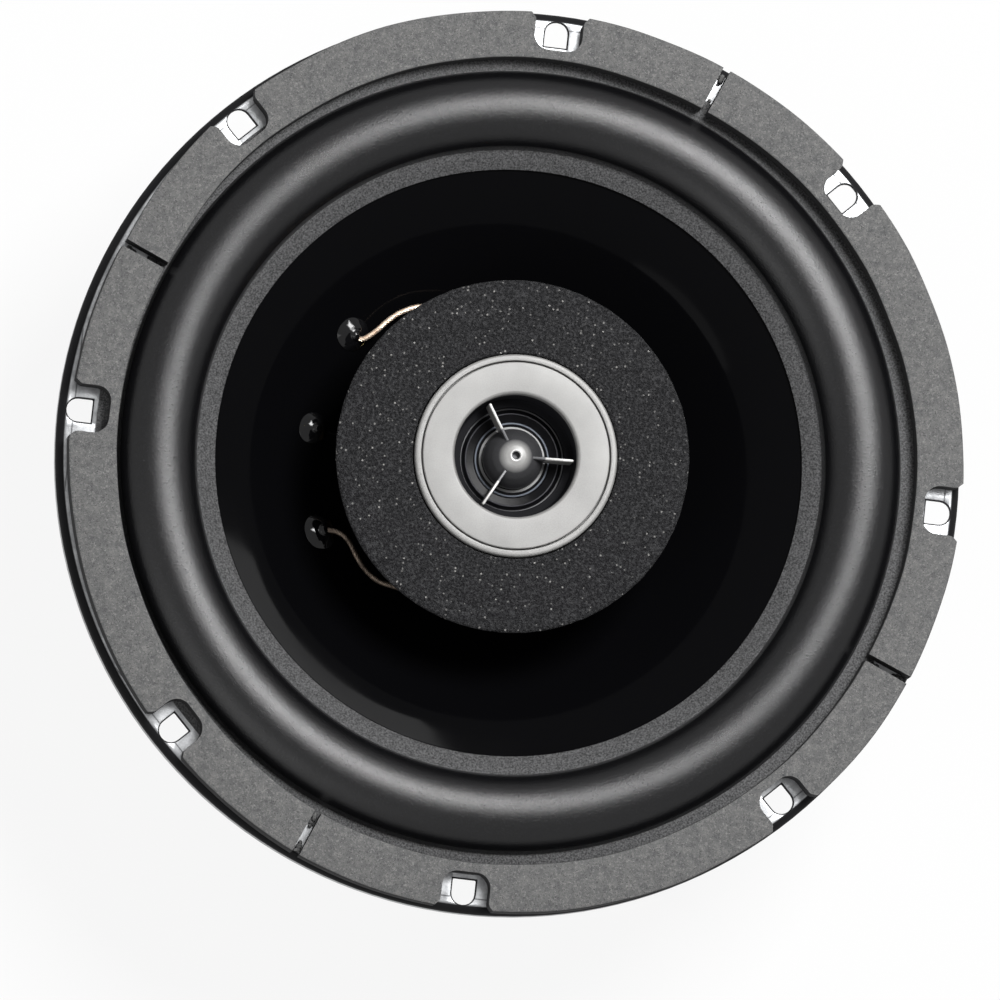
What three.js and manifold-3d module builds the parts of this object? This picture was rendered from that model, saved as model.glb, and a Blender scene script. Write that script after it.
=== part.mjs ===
import * as THREE from 'three';
import { mergeVertices } from 'three/addons/utils/BufferGeometryUtils.js';
import Module from 'manifold-3d';

const wasm = await Module();
wasm.setup();

// A coaxial car speaker: a woofer in a stamped steel basket with a tweeter on a post in front of it.
// Lengths are in millimetres. +Z is the axis, towards the listener.
// The origin is the centre of the motor's rear face, on which the speaker stands.

// Clearances and tools
const seatGap = 0.3; // between turned or bent pieces that meet
const overrun = 1; // how far a cutting tool runs past what it cuts
const edgeBreak = 0.6; // bevel on turned edges
const roundShare = 0.3; // inset of a rounded edge's middle point, as a share of its radius

// Faces round a turned piece
const basketSides = 40;
const ringSides = 32;
const motorSides = 24;
const tweeterSides = 24;
const coilSides = 24;
const smallSides = 16;
const rivetSides = 8;
const leadSides = 6;
const curveSteps = 3; // steps in a quarter turn of a flat shape

// Woofer motor
const magnetRadius = 60;
const magnetBoreGap = 6.3; // magnet's bore clear of the top plate's
const magnetThickness = 18;
const magnetBevel = 1.2;
const backPlateInset = 5; // back plate's edge inside the magnet's
const backPlateThickness = 8;
const backPlateBevel = 2;
const poleProud = 1; // pole above the top plate
const nutRecessMargin = 3.5; // recess round the washer
const nutDrop = 0.8; // nut below the rear face
const topPlateInset = 4; // top plate's edge inside the magnet's
const topPlateThickness = 7;
const motorRivetCount = 4;
const motorRivetInset = 12; // rivets inside the basket's seat wall
const motorRivetRadius = 2.7;
const motorRivetHeadRadius = 4.6;
const motorRivetHeadHeight = 1.6;
const rivetCrownShare = 0.7;

// Basket, pressed from one sheet
const sheetThickness = 1.2;
const seatBoreGap = 2.3; // basket's bore clear of the top plate's
const seatWallInset = 6; // seat wall inside the top plate's edge
const seatWallLean = 0.8;
const ledgeRise = 8; // spider ledge above the motor seat
const ledgeWidth = 8;
const legTopInset = 3.2; // top of the legs inside the mouth
const legTopDrop = 8; // top of the legs below the flange
const mouthInset = 1.9; // mouth inside the surround's roll
const rimMargin = 0.4; // flange outside the gasket
const rimBend = 1.4;
const rimDepth = 5.5;
const legCount = 4;
const windowFootMargin = 4; // window outside the ledge
const windowHeadMargin = 2; // window below the top of the legs
const windowHalfDegrees = 30;
const windowCornerRadius = 5;
const beadRadius = 4;
const beadStartShare = 0.24;
const beadEndShare = 0.8;

// Mounting holes, round at the outer end and flat at the inner end
const holeCount = 8;
const holeWidth = 5.3;
const holeLength = 5.9;
const holeMargin = 1.9; // hole inside the flange's edge

// Gasket, glued on by hand in four arcs
const gasketCount = 4;
const gasketGap = 3.1; // gasket clear of the surround's roll
const gasketWidth = 11;
const gasketThickness = 6;
const gasketBevel = 0.5;
// Rows are how far out an arc lies at its start, quarters and end.
const gasketArcShifts = [
  [-0.6, -0.3, -0.3, -0.8, -2.4],
  [-2.2, -2.3, -2.2, -1.6, -0.6],
  [-0.5, 0, 0.1, 0.1, 0.1],
  [0.1, 0.3, 0.3, 0, -0.6],
];
const gasketJointWidth = 1.7;
const gasketJointDegrees = 67.5;
const notchWidth = 11.2;
const notchDepth = 8.8; // from the gasket's outer edge
const notchFlare = 1.2;

// Cone, surround, spider and voice coil
const coneRimRadius = 72.4; // the speaker's size class
const coneLand = 4.4; // flat land round the cone, under the surround
const coneThickness = 0.8;
const coneDepth = 29.6;
const coneCurl = 0.8; // below 1 the cone steepens towards its neck
const coneShares = [0.08, 0.28, 0.6, 1];
const coneNeckLength = 2.6;
const coneNeckRise = 7.8; // cone's neck above the spider's ledge
const surroundThickness = 0.8;
const surroundRollGap = 0.5; // roll outside the cone's rim
const surroundRollWidth = 17.6;
const surroundRollHeight = 6.5;
const surroundRollSteps = 6;
const surroundLipWidth = 5.5; // under the gasket
const formerRadius = 19.2;
const formerWall = 0.3;
const formerRise = 5; // above the cone's neck
const poleGap = 0.4; // former to pole
const coilWall = 0.7;
const coilLength = 11.5;
const formerTail = 0.5; // below the coil
const coilAirGap = 0.5; // coil to top plate
const spiderThickness = 0.5;
const spiderWaves = 4;
const spiderWaveHeight = 1.5;
const spiderWaveGap = 4.25; // first wave outside the collar
const spiderLipInset = 1; // spider inside the ledge's edge
const spiderLipWidth = 8.5;
const spiderCollarHeight = 3;

// Eyelets through the cone, and the glue over them
const eyeletRadius = 46; // from the axis
const eyeletDegrees = [145.5, 175.4, 206.1];
const eyeletBarrelRadius = 1.5;
const eyeletBoreRadius = 0.8;
const eyeletHeadRadius = 2.5;
const eyeletHeadThickness = 0.4;
const glueRadius = 3.6;
const glueHeight = 2.5;
const glueBends = [0, 25, 50, 72]; // degrees up the dome
const gluedGap = 0.45;

// Leads
const braidDiameter = 1.3;
const braidRun = 4; // length of a step, in diameters
const coilLeadDiameter = 0.6;
const coilLeadRun = 10;
const coilLeadSteps = 3;
const coilLeadEndGap = 1.7; // end of the wire outside the cone's neck
const capacitorLeadDiameter = 0.8;
const capacitorWireReach = 4.6; // end of a wire beyond the terminals' rivets
const frontBraidEyelets = [0, 2];
const frontBraidEndGap = 1; // end of a front braid outside the tweeter's housing
// Rows are [way in to the housing, degrees from the eyelet, rise to the foam], for each front braid.
const frontBraidShares = [
  [
    [0.079, -4.7, 0.186],
    [0.117, -10.5, 0.293],
    [0.147, -17.5, 0.341],
    [0.226, -26.5, 0.341],
    [0.453, -39.5, 0.317],
    [0.755, -51.5, 0.269],
    [0.925, -61.5, 0.222],
    [1, -68.5, 0.222],
  ],
  [
    [0.106, 4.3, 0.186],
    [0.158, 9.4, 0.293],
    [0.219, 15.9, 0.341],
    [0.317, 24.9, 0.341],
    [0.509, 39.9, 0.317],
    [0.755, 53.9, 0.269],
    [0.925, 67.9, 0.222],
    [1, 75.9, 0.222],
  ],
];
// Rows are [radius, turn, drop] between an eyelet and its terminal's rivet.
const rearBraidShares = [
  [0, 0, 0],
  [0.065, 0.03, 0.115],
  [0.25, 0.2, 0.29],
  [0.53, 0.53, 0.475],
  [0.79, 0.8, 0.66],
  [0.945, 0.955, 0.84],
  [1, 1, 1],
];
const rearBraidOffset = 0.75; // start outside the eyelet's middle
const rearBraidDrop = 1.85; // start behind the cone's middle
const rearBraidSeat = 0.1; // end above the rivet's head
// Rows are [reach, across, rise] from the capacitor's end to a terminal, for each wire.
const capacitorWireShares = [
  [
    [0, 1, -0.039],
    [0.04, 1.165, -0.02],
    [0.316, 1.32, 0.294],
    [0.737, 1.282, 0.725],
    [0.974, 1.126, 0.902],
    [1, 0.951, 1],
  ],
  [
    [0, 1, -0.039],
    [0.053, 1.165, -0.02],
    [0.447, 1.243, 0.255],
    [0.868, 1.01, 0.569],
    [1.053, 0.583, 0.765],
    [1.026, 0.233, 0.882],
    [0.974, 0.078, 1],
  ],
];

// Terminal board on its tab
const tabWidth = 22;
const tabLength = 8.5; // beyond the ledge
const tabCornerRadius = 2;
const boardThickness = 1.6;
const boardWidth = 27;
const boardGap = 0.8; // board outside the ledge
const boardMargin = 6; // board beyond the terminals' rivets
const boardRivetInset = 3.9; // rivet inside the tab's end
const boardRivetPitch = 12;
const smallRivetRadius = 1.2;
const smallRivetHeadRadius = 2.2;
const smallRivetHeadHeight = 0.6;
const terminalThickness = 0.8;
const terminalRivetGap = 3.5; // rivet beyond the tab's end
const terminalPitch = 8;
const terminalTail = 3.4; // behind its rivet
const bladeLength = 9; // beyond the board
const positiveWidth = 6.3;
const negativeWidth = 4.8;
const tagWidth = 4.2;
const tagLength = 0.5; // beyond the board
const terminalTaper = 1;
const capacitorRadius = 5;
const capacitorLength = 20;
const capacitorGap = 2; // capacitor outside the magnet
const capacitorBevel = 0.8;

// Tweeter post, nut and washer
const postShankRadius = 5;
const postTail = 0.4; // end of the shank above the rear face
const postShoulderRadius = 12;
const postShoulderHeight = 2.5;
const postColumnRadius = 8;
const postSpigotRadius = 4;
const postSpigotHeight = 1.2;
const washerRadius = 9.5;
const washerThickness = 1;
const nutAcrossFlats = 15;
const nutHeight = 3.8;

// Tweeter housing and front
const tweeterProud = 13.7; // in front of the flange
const tweeterDepth = 29.7;
const tweeterWall = 1.5;
const tweeterFlareDepth = 18.7; // start of the flare below the front
const tweeterFlareHeight = 1.5;
const tweeterRimBevel = 0.5;
const frontRingThickness = 2.5;
const frontRingRound = 0.8;
const frontLedgeWidth = 1.9;
const throatOverlap = 0.7; // throat's ledge over the dome's edge
const throatLedgeWidth = 1.9;
const throatLedgeDepth = 8.7;
const throatLedgeThickness = 0.8;
const throatDraft = 0.3; // throat wider at its front
const diaphragmSeatDrop = 3.2; // seat below the throat's ledge
const diaphragmLedgeWidth = 3;

// Phase plug
const plugRadius = 7;
const plugTipDrop = 0.2;
const plugHoleRadius = 0.85;
const plugHoleDepth = 2;
const plugHeightShares = [0, 0.16, 0.4, 0.62, 0.82, 0.95, 1];
const plugRadiusShares = [1, 0.985, 0.89, 0.74, 0.54, 0.34, 0.2];
const finCount = 3;
const finDegrees = 2.2;
const finThickness = 0.65;
const finTopDrop = 2;
const finRootRadius = 3;

// Tweeter diaphragm and motor
const filmThickness = 0.4;
const domeRadius = 12.7;
const domeHeight = 1.9;
const domeRadiusShares = [0, 0.55, 0.6, 0.84, 0.89, 1];
const domeHeightShares = [1, 0.9, 0.66, 0.6, 0.3, 0.16];
const tweeterRollGap = 0.7; // roll outside the dome
const tweeterRollWidth = 3.2;
const tweeterRollHeight = 1;
const tweeterRollMargin = 0.4; // roll inside its seat
const tweeterRollStartShare = 0.4;
const tweeterCoilWall = 0.6;
const tweeterCoilLength = 5.4;
const tweeterAirGap = 0.4;
const yokeDrop = 1.4; // pot yoke below the diaphragm's seat
const yokeFloor = 3;
const polePlateThickness = 4;
const polePlateInset = 0.6; // magnet inside the pole plate's edge

// Foam ring round the tweeter
const foamRadius = 40.8;
const foamFrontDrop = 1;
const foamThickness = 16.2;
const foamRound = 1;

// Levels along the axis, worked out from the sizes above
const nutRecessDepth = nutDrop + nutHeight + washerThickness;
const magnetFront = backPlateThickness + magnetThickness;
const topPlateFront = magnetFront + topPlateThickness;
const poleFront = topPlateFront + poleProud;
const seatFront = topPlateFront + sheetThickness;
const ledgeBack = topPlateFront + ledgeRise;
const ledgeFront = ledgeBack + sheetThickness;
const coneNeckHeight = ledgeFront + coneNeckRise;
const coneRimMiddle = coneNeckHeight + coneDepth;
const frameFront = coneRimMiddle + coneThickness / 2; // front face of the mounting flange
const flangeBack = frameFront - sheetThickness;
const gasketFront = frameFront + gasketThickness;
const coilMiddle = magnetFront + topPlateThickness / 2;
const tweeterFront = frameFront + tweeterProud;
const tweeterRear = tweeterFront - tweeterDepth;
const frontLedge = tweeterFront - frontRingThickness;
const throatLedge = tweeterFront - throatLedgeDepth;
const diaphragmSeat = throatLedge - diaphragmSeatDrop;
const foamFront = tweeterFront - foamFrontDrop;
const foamBack = foamFront - foamThickness;
const yokeRear = tweeterRear + tweeterWall;
const yokeFront = diaphragmSeat - yokeDrop;
const boardBack = ledgeBack - boardThickness;
const terminalBack = boardBack - terminalThickness;
const capacitorMiddle = terminalBack - smallRivetHeadHeight - seatGap - capacitorRadius;

// Radii of the motor and voice coil, from the former outwards
const poleRadius = formerRadius - formerWall - poleGap;
const poleBoreRadius = postShankRadius + seatGap;
const nutRecessRadius = washerRadius + nutRecessMargin;
const backPlateRadius = magnetRadius - backPlateInset;
const topPlateRadius = magnetRadius - topPlateInset;
const coilInnerRadius = formerRadius + seatGap;
const coilOuterRadius = coilInnerRadius + coilWall;
const topPlateBoreRadius = coilOuterRadius + coilAirGap;
const magnetBoreRadius = topPlateBoreRadius + magnetBoreGap;
const neckRadius = formerRadius + seatGap + coneThickness / 2;
const coilLeadEndRadius = neckRadius + coilLeadEndGap;

// Radii of the front, from the cone outwards
const coneEdgeRadius = coneRimRadius - coneLand;
const surroundInnerRadius = coneRimRadius + surroundRollGap;
const surroundOuterRadius = surroundInnerRadius + surroundRollWidth;
const surroundLipRadius = surroundOuterRadius + surroundLipWidth;
const gasketInnerRadius = surroundOuterRadius + gasketGap;
const gasketOuterRadius = gasketInnerRadius + gasketWidth;
const frameRadius = gasketOuterRadius + rimMargin;
const holeOuterRadius = frameRadius - holeMargin;

// Radii of the basket and spider, from the top plate and the surround
const seatBoreRadius = topPlateBoreRadius + seatBoreGap;
const seatWallRadius = topPlateRadius - seatWallInset;
const motorRivetPitchRadius = seatWallRadius - motorRivetInset;
const ledgeRadius = seatWallRadius + ledgeWidth;
const basketMouthRadius = surroundOuterRadius - mouthInset;
const legTopRadius = basketMouthRadius - legTopInset;
const windowInnerRadius = ledgeRadius + windowFootMargin;
const windowOuterRadius = legTopRadius - windowHeadMargin;
const spiderCollarRadius = formerRadius + seatGap + spiderThickness / 2;
const spiderWaveStart = spiderCollarRadius + spiderWaveGap;
const spiderLipRadius = ledgeRadius - spiderLipInset;
const spiderWaveEnd = spiderLipRadius - spiderLipWidth;

// Reaches of the terminal board's pieces from the axis
const tabReach = ledgeRadius + tabLength;
const boardInnerReach = ledgeRadius + boardGap;
const boardRivetReach = tabReach - boardRivetInset;
const terminalRivetReach = tabReach + terminalRivetGap;
const boardOuterReach = terminalRivetReach + boardMargin;
const bladeReach = boardOuterReach + bladeLength;
const tagReach = boardOuterReach + tagLength;
const capacitorReach = magnetRadius + capacitorGap + capacitorRadius;

// Radii of the tweeter, from its dome outwards
const polePlateRadius = domeRadius - tweeterCoilWall / 2 - seatGap;
const yokeBoreRadius = domeRadius + tweeterCoilWall / 2 + tweeterAirGap;
const tweeterRollInnerRadius = domeRadius + tweeterRollGap;
const tweeterRollOuterRadius = tweeterRollInnerRadius + tweeterRollWidth;
const diaphragmLedgeRadius = tweeterRollOuterRadius + tweeterRollMargin;
const yokeWallRadius = diaphragmLedgeRadius - seatGap;
const tweeterRearRadius = diaphragmLedgeRadius + tweeterWall;
const housingMiddleBore = diaphragmLedgeRadius + diaphragmLedgeWidth;
const housingFrontBore = housingMiddleBore + frontLedgeWidth;
const tweeterFrontRadius = housingFrontBore + tweeterWall;
const throatOpeningRadius = domeRadius - throatOverlap;
const throatWallRadius = throatOpeningRadius + throatLedgeWidth;
const frontRingBoreRadius = throatWallRadius + throatDraft;

// Colours and finishes
const finishes = {
  brightSteel: [0xc9cbcc, 0.35, 0.9],
  darkSteel: [0x3c3e40, 0.5, 0.8],
  ferrite: [0x25262a, 0.8, 0.1],
  corkRubber: [0x6f6f6d, 0.95, 0],
  surroundRubber: [0x23252a, 0.45, 0],
  glossCone: [0x111214, 0.15, 0],
  spiderCloth: [0xb98d3e, 0.9, 0],
  coilPaper: [0x8a6f4a, 0.7, 0],
  copper: [0xb8703c, 0.35, 0.9],
  brass: [0xb99a4c, 0.35, 0.9],
  glue: [0x0c0c0e, 0.12, 0],
  phenolic: [0x5a3a22, 0.6, 0],
  tinned: [0xb9b9b5, 0.35, 0.9],
  blackPlastic: [0x17181a, 0.5, 0],
  satinSilver: [0xc8c6c1, 0.4, 0.7],
  glossFilm: [0x0e0f12, 0.12, 0],
  neodymium: [0xa9adb2, 0.3, 0.9],
  foam: [0x35363a, 1, 0],
};

function material(finish) {
  const [color, roughness, metalness] = finishes[finish];
  return new THREE.MeshStandardMaterial({ color, roughness, metalness });
}

function radians(degrees) {
  return THREE.MathUtils.degToRad(degrees);
}

// Angles in degrees, evenly spaced round the axis, the first at a share of the spacing.
function anglesRound(count, startShare = 0) {
  return Array.from({ length: count }, (_, index) => ((index + startShare) * 360) / count);
}

// A geometry with shared corners, no empty triangles and its faces pointing out.
function closedGeometry(source) {
  const bare = new THREE.BufferGeometry();
  bare.setAttribute('position', source.attributes.position);
  bare.setIndex(source.index);
  const merged = mergeVertices(bare);
  const corners = Array.from(merged.index.array);
  const kept = [];
  for (let i = 0; i < corners.length; i += 3) {
    const [a, b, c] = corners.slice(i, i + 3);
    if (a !== b && b !== c && c !== a) kept.push(a, b, c);
  }
  merged.setIndex(kept);
  if (signedVolume(merged) < 0) merged.setIndex(kept.reverse());
  return merged;
}

function signedVolume(geometry) {
  const place = geometry.attributes.position;
  const corners = geometry.index.array;
  const [a, b, c] = [new THREE.Vector3(), new THREE.Vector3(), new THREE.Vector3()];
  let volume = 0;
  for (let i = 0; i < corners.length; i += 3) {
    a.fromBufferAttribute(place, corners[i]);
    b.fromBufferAttribute(place, corners[i + 1]);
    c.fromBufferAttribute(place, corners[i + 2]);
    volume += a.dot(b.cross(c)) / 6;
  }
  return volume;
}

function solidOf(geometry) {
  const closed = closedGeometry(geometry);
  const mesh = new wasm.Mesh({
    numProp: 3,
    vertProperties: Float32Array.from(closed.attributes.position.array),
    triVerts: Uint32Array.from(closed.index.array),
  });
  return new wasm.Manifold(mesh);
}

function geometryOf(solid) {
  const mesh = solid.getMesh();
  const geometry = new THREE.BufferGeometry();
  geometry.setAttribute('position', new THREE.BufferAttribute(mesh.vertProperties, 3));
  geometry.setIndex(new THREE.BufferAttribute(mesh.triVerts, 1));
  return geometry;
}

// What is left of a body after the cutters have gone through it.
function cut(body, cutters) {
  const left = cutters.reduce((solid, cutter) => solid.subtract(solidOf(cutter)), solidOf(body));
  return geometryOf(left);
}

// A solid of revolution about Z from an outline of [radius, height] points.
function turned(outline, sides) {
  const points = outline.map(([radius, height]) => new THREE.Vector2(radius, height));
  const last = points[points.length - 1];
  if (points[0].x > 0 || last.x > 0) points.push(points[0].clone());
  if (THREE.ShapeUtils.area(points) < 0) points.reverse();
  return closedGeometry(new THREE.LatheGeometry(points, sides).rotateX(Math.PI / 2));
}

// A plain ring between two radii and two heights.
function ring(innerRadius, outerRadius, low, high, sides) {
  const outline = [[innerRadius, low], [outerRadius, low], [outerRadius, high], [innerRadius, high]];
  return turned(outline, sides);
}

// The closed outline of a sheet whose middle follows a line of [radius, height] points.
function sheetOutline(line, thickness) {
  const points = line.map(([radius, height]) => new THREE.Vector2(radius, height));
  const last = points.length - 1;
  const normal = (from, to) => new THREE.Vector2(from.y - to.y, to.x - from.x).normalize();
  const front = [];
  const back = [];
  points.forEach((point, index) => {
    const ahead = index < last ? normal(point, points[index + 1]) : normal(points[index - 1], point);
    const behind = index > 0 ? normal(points[index - 1], point) : ahead;
    const mitre = ahead.clone().add(behind).normalize();
    const reach = thickness / 2 / mitre.dot(ahead);
    const offset = mitre.multiplyScalar(reach);
    front.push([point.x + offset.x, point.y + offset.y]);
    back.unshift([point.x - offset.x, point.y - offset.y]);
  });
  return [...front, ...back];
}

// A flat shape raised from one height to another.
function raised(shape, low, high) {
  const depth = high - low;
  const options = { depth, bevelEnabled: false, curveSegments: curveSteps };
  const geometry = new THREE.ExtrudeGeometry(shape, options);
  return geometry.translate(0, 0, low);
}

function cylinderAt(radius, low, high, sides, x = 0, y = 0) {
  const geometry = new THREE.CylinderGeometry(radius, radius, high - low, sides);
  return geometry.rotateX(Math.PI / 2).translate(x, y, (low + high) / 2);
}

// A rectangle with rounded corners, centred on y = 0, from one x to another.
function roundedPlate(fromX, toX, width, corner) {
  const half = width / 2;
  const shape = new THREE.Shape();
  shape.moveTo(fromX + corner, -half);
  shape.lineTo(toX - corner, -half);
  shape.absarc(toX - corner, corner - half, corner, radians(-90), 0, false);
  shape.lineTo(toX, half - corner);
  shape.absarc(toX - corner, half - corner, corner, 0, radians(90), false);
  shape.lineTo(fromX + corner, half);
  shape.absarc(fromX + corner, half - corner, corner, radians(90), radians(180), false);
  shape.lineTo(fromX, corner - half);
  shape.absarc(fromX + corner, corner - half, corner, radians(180), radians(270), false);
  return shape;
}

// A tube of the given diameter along a smooth curve through the points.
function lead(points, diameter, run = braidRun) {
  const curve = new THREE.CatmullRomCurve3(points, false, 'centripetal');
  const shape = new THREE.Shape();
  shape.absarc(0, 0, diameter / 2, 0, radians(360), false);
  const steps = Math.round(curve.getLength() / (diameter * run));
  const curveSegments = leadSides / 2;
  const geometry = new THREE.ExtrudeGeometry(shape, { extrudePath: curve, steps, curveSegments });
  return closedGeometry(geometry);
}

function flatPolar(radius, angle) {
  return [radius * Math.cos(angle), radius * Math.sin(angle)];
}

function polar(radius, degrees, height) {
  return new THREE.Vector3(radius * Math.cos(radians(degrees)), radius * Math.sin(radians(degrees)), height);
}

const motorRivetPlaces = anglesRound(motorRivetCount, 0.5).map((degrees) => {
  return polar(motorRivetPitchRadius, degrees, 0);
});

// Height and slope of the middle of the cone's wall at a radius.
function coneShare(radius) {
  return (radius - neckRadius) / (coneEdgeRadius - neckRadius);
}

function coneHeight(radius) {
  return coneNeckHeight + coneDepth * coneShare(radius) ** coneCurl;
}

function coneTilt(radius) {
  const run = coneEdgeRadius - neckRadius;
  return Math.atan((coneDepth * coneCurl * coneShare(radius) ** (coneCurl - 1)) / run);
}

// Turns and moves a piece so that its z = 0 lies in the cone's wall.
function placeOnCone(object, radius, degrees) {
  object.position.copy(polar(radius, degrees, coneHeight(radius)));
  object.rotation.set(0, -coneTilt(radius), radians(degrees), 'ZYX');
  object.updateMatrix();
  return object;
}

function yoke() {
  return turned(
    [
      [nutRecessRadius, 0],
      [backPlateRadius - backPlateBevel, 0],
      [backPlateRadius, backPlateBevel],
      [backPlateRadius, backPlateThickness],
      [poleRadius, backPlateThickness],
      [poleRadius, poleFront - edgeBreak],
      [poleRadius - edgeBreak, poleFront],
      [poleBoreRadius, poleFront],
      [poleBoreRadius, nutRecessDepth],
      [nutRecessRadius, nutRecessDepth],
    ],
    motorSides,
  );
}

function ferriteMagnet() {
  return turned(
    [
      [magnetBoreRadius, backPlateThickness],
      [magnetRadius - magnetBevel, backPlateThickness],
      [magnetRadius, backPlateThickness + magnetBevel],
      [magnetRadius, magnetFront - magnetBevel],
      [magnetRadius - magnetBevel, magnetFront],
      [magnetBoreRadius, magnetFront],
    ],
    motorSides,
  );
}

// Holes for the rivets that hold the basket on the top plate.
function motorRivetHoles(low, high) {
  return motorRivetPlaces.map((place) => {
    return cylinderAt(motorRivetRadius + seatGap, low, high, rivetSides, place.x, place.y);
  });
}

function topPlate() {
  const plate = turned(
    [
      [topPlateBoreRadius, magnetFront],
      [topPlateRadius, magnetFront],
      [topPlateRadius, topPlateFront - edgeBreak],
      [topPlateRadius - edgeBreak, topPlateFront],
      [topPlateBoreRadius, topPlateFront],
    ],
    motorSides,
  );
  return cut(plate, motorRivetHoles(magnetFront - overrun, topPlateFront + overrun));
}

// A rivet with a low domed head; its shank ends short of what lies below it.
function motorRivet() {
  return turned(
    [
      [0, magnetFront + seatGap],
      [motorRivetRadius, magnetFront + seatGap],
      [motorRivetRadius, seatFront],
      [motorRivetHeadRadius, seatFront],
      [motorRivetHeadRadius * rivetCrownShare, seatFront + motorRivetHeadHeight],
      [0, seatFront + motorRivetHeadHeight],
    ],
    rivetSides,
  );
}

// The middle of the basket's sheet, from the motor seat out to the turned-down rim.
function basketLine() {
  const half = sheetThickness / 2;
  const rimMiddle = frameRadius - half;
  return [
    [seatBoreRadius, topPlateFront + half],
    [seatWallRadius, topPlateFront + half],
    [seatWallRadius + seatWallLean, ledgeBack + half],
    [ledgeRadius, ledgeBack + half],
    [legTopRadius, flangeBack - legTopDrop],
    [basketMouthRadius, flangeBack + half],
    [rimMiddle - rimBend, flangeBack + half],
    [rimMiddle, flangeBack + half - rimBend],
    [rimMiddle, frameFront - rimDepth],
  ];
}

// A window between two legs, an arc of a ring with rounded corners.
function windowShape() {
  const half = radians(windowHalfDegrees);
  const corner = Math.min(windowCornerRadius, (windowOuterRadius - windowInnerRadius) / 4);
  const outerTurn = corner / windowOuterRadius;
  const innerTurn = corner / windowInnerRadius;
  const shape = new THREE.Shape();
  const round = (tip, end) => shape.quadraticCurveTo(...flatPolar(...tip), ...flatPolar(...end));
  shape.absarc(0, 0, windowOuterRadius, outerTurn - half, half - outerTurn, false);
  round([windowOuterRadius, half], [windowOuterRadius - corner, half]);
  shape.lineTo(...flatPolar(windowInnerRadius + corner, half));
  round([windowInnerRadius, half], [windowInnerRadius, half - innerTurn]);
  shape.absarc(0, 0, windowInnerRadius, half - innerTurn, innerTurn - half, true);
  round([windowInnerRadius, -half], [windowInnerRadius + corner, -half]);
  shape.lineTo(...flatPolar(windowOuterRadius - corner, -half));
  round([windowOuterRadius, -half], [windowOuterRadius, outerTurn - half]);
  return shape;
}

function mountingHoleShape() {
  const radius = holeWidth / 2;
  const shape = new THREE.Shape();
  shape.moveTo(holeOuterRadius - holeLength, -radius);
  shape.lineTo(holeOuterRadius - radius, -radius);
  shape.absarc(holeOuterRadius - radius, 0, radius, radians(-90), radians(90), false);
  shape.lineTo(holeOuterRadius - holeLength, radius);
  return shape;
}

// A bead along a leg, centred on the sheet's inner face.
function legBead(radius, degrees) {
  const line = sheetOutline(basketLine(), sheetThickness);
  const foot = new THREE.Vector2(...line[3]);
  const head = new THREE.Vector2(...line[4]);
  const run = head.clone().sub(foot);
  const middle = foot.clone().addScaledVector(run, (beadStartShare + beadEndShare) / 2);
  const length = run.length() * (beadEndShare - beadStartShare);
  const geometry = new THREE.CapsuleGeometry(radius, length, 2, rivetSides);
  geometry.rotateZ(run.angle() - radians(90)).rotateX(radians(90));
  return geometry.translate(middle.x, 0, middle.y).rotateZ(radians(degrees));
}

// The space inside the legs.
function legSpace() {
  const line = sheetOutline(basketLine(), sheetThickness);
  const [footRadius, footHeight] = line[3];
  const [headRadius, headHeight] = line[4];
  const outline = [[0, footHeight], [footRadius, footHeight], [headRadius, headHeight], [0, headHeight]];
  return turned(outline, basketSides);
}

function basket() {
  let body = solidOf(turned(sheetOutline(basketLine(), sheetThickness), basketSides));
  const legDegrees = anglesRound(legCount, 0.5);
  legDegrees.forEach((degrees) => {
    body = body.add(solidOf(legBead(beadRadius, degrees)));
  });
  body = body.subtract(solidOf(legSpace()));
  const tab = roundedPlate(-tabReach, -seatWallRadius - tabCornerRadius, tabWidth, tabCornerRadius);
  const windowTool = raised(windowShape(), ledgeFront + overrun, flangeBack - overrun);
  const holeTool = raised(mountingHoleShape(), flangeBack - overrun, frameFront + overrun);
  const cutters = [
    ...legDegrees.map((degrees) => legBead(beadRadius - sheetThickness, degrees)),
    ...anglesRound(legCount).map((degrees) => windowTool.clone().rotateZ(radians(degrees))),
    ...anglesRound(holeCount).map((degrees) => holeTool.clone().rotateZ(radians(degrees))),
    ...motorRivetHoles(topPlateFront - overrun, seatFront + overrun),
  ];
  const opened = solidOf(cut(geometryOf(body), cutters));
  const tabbed = opened.add(solidOf(raised(tab, ledgeBack, ledgeFront)));
  return cut(geometryOf(tabbed), boardRivetHoles(ledgeBack - overrun, ledgeFront + overrun));
}

// A notch round a mounting hole: round at its inner end, flared at the gasket's edge.
function notchShape() {
  const half = notchWidth / 2;
  const centre = gasketOuterRadius - notchDepth + half;
  const shape = new THREE.Shape();
  shape.moveTo(gasketOuterRadius + overrun, -half - notchFlare);
  shape.lineTo(gasketOuterRadius + overrun, half + notchFlare);
  shape.lineTo(gasketOuterRadius, half + notchFlare);
  shape.quadraticCurveTo(gasketOuterRadius, half, gasketOuterRadius - notchFlare, half);
  shape.lineTo(centre, half);
  shape.absarc(centre, 0, half, radians(90), radians(270), false);
  shape.lineTo(gasketOuterRadius - notchFlare, -half);
  shape.quadraticCurveTo(gasketOuterRadius, -half, gasketOuterRadius, -half - notchFlare);
  return shape;
}

// The sector of the gasket between two of its joints.
function gasketSector(start, end) {
  const shape = new THREE.Shape();
  shape.moveTo(0, 0);
  [start, (start + end) / 2, end].forEach((degrees) => {
    shape.lineTo(...flatPolar(frameRadius * 2, radians(degrees)));
  });
  return raised(shape, frameFront - overrun, gasketFront + overrun);
}

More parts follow.
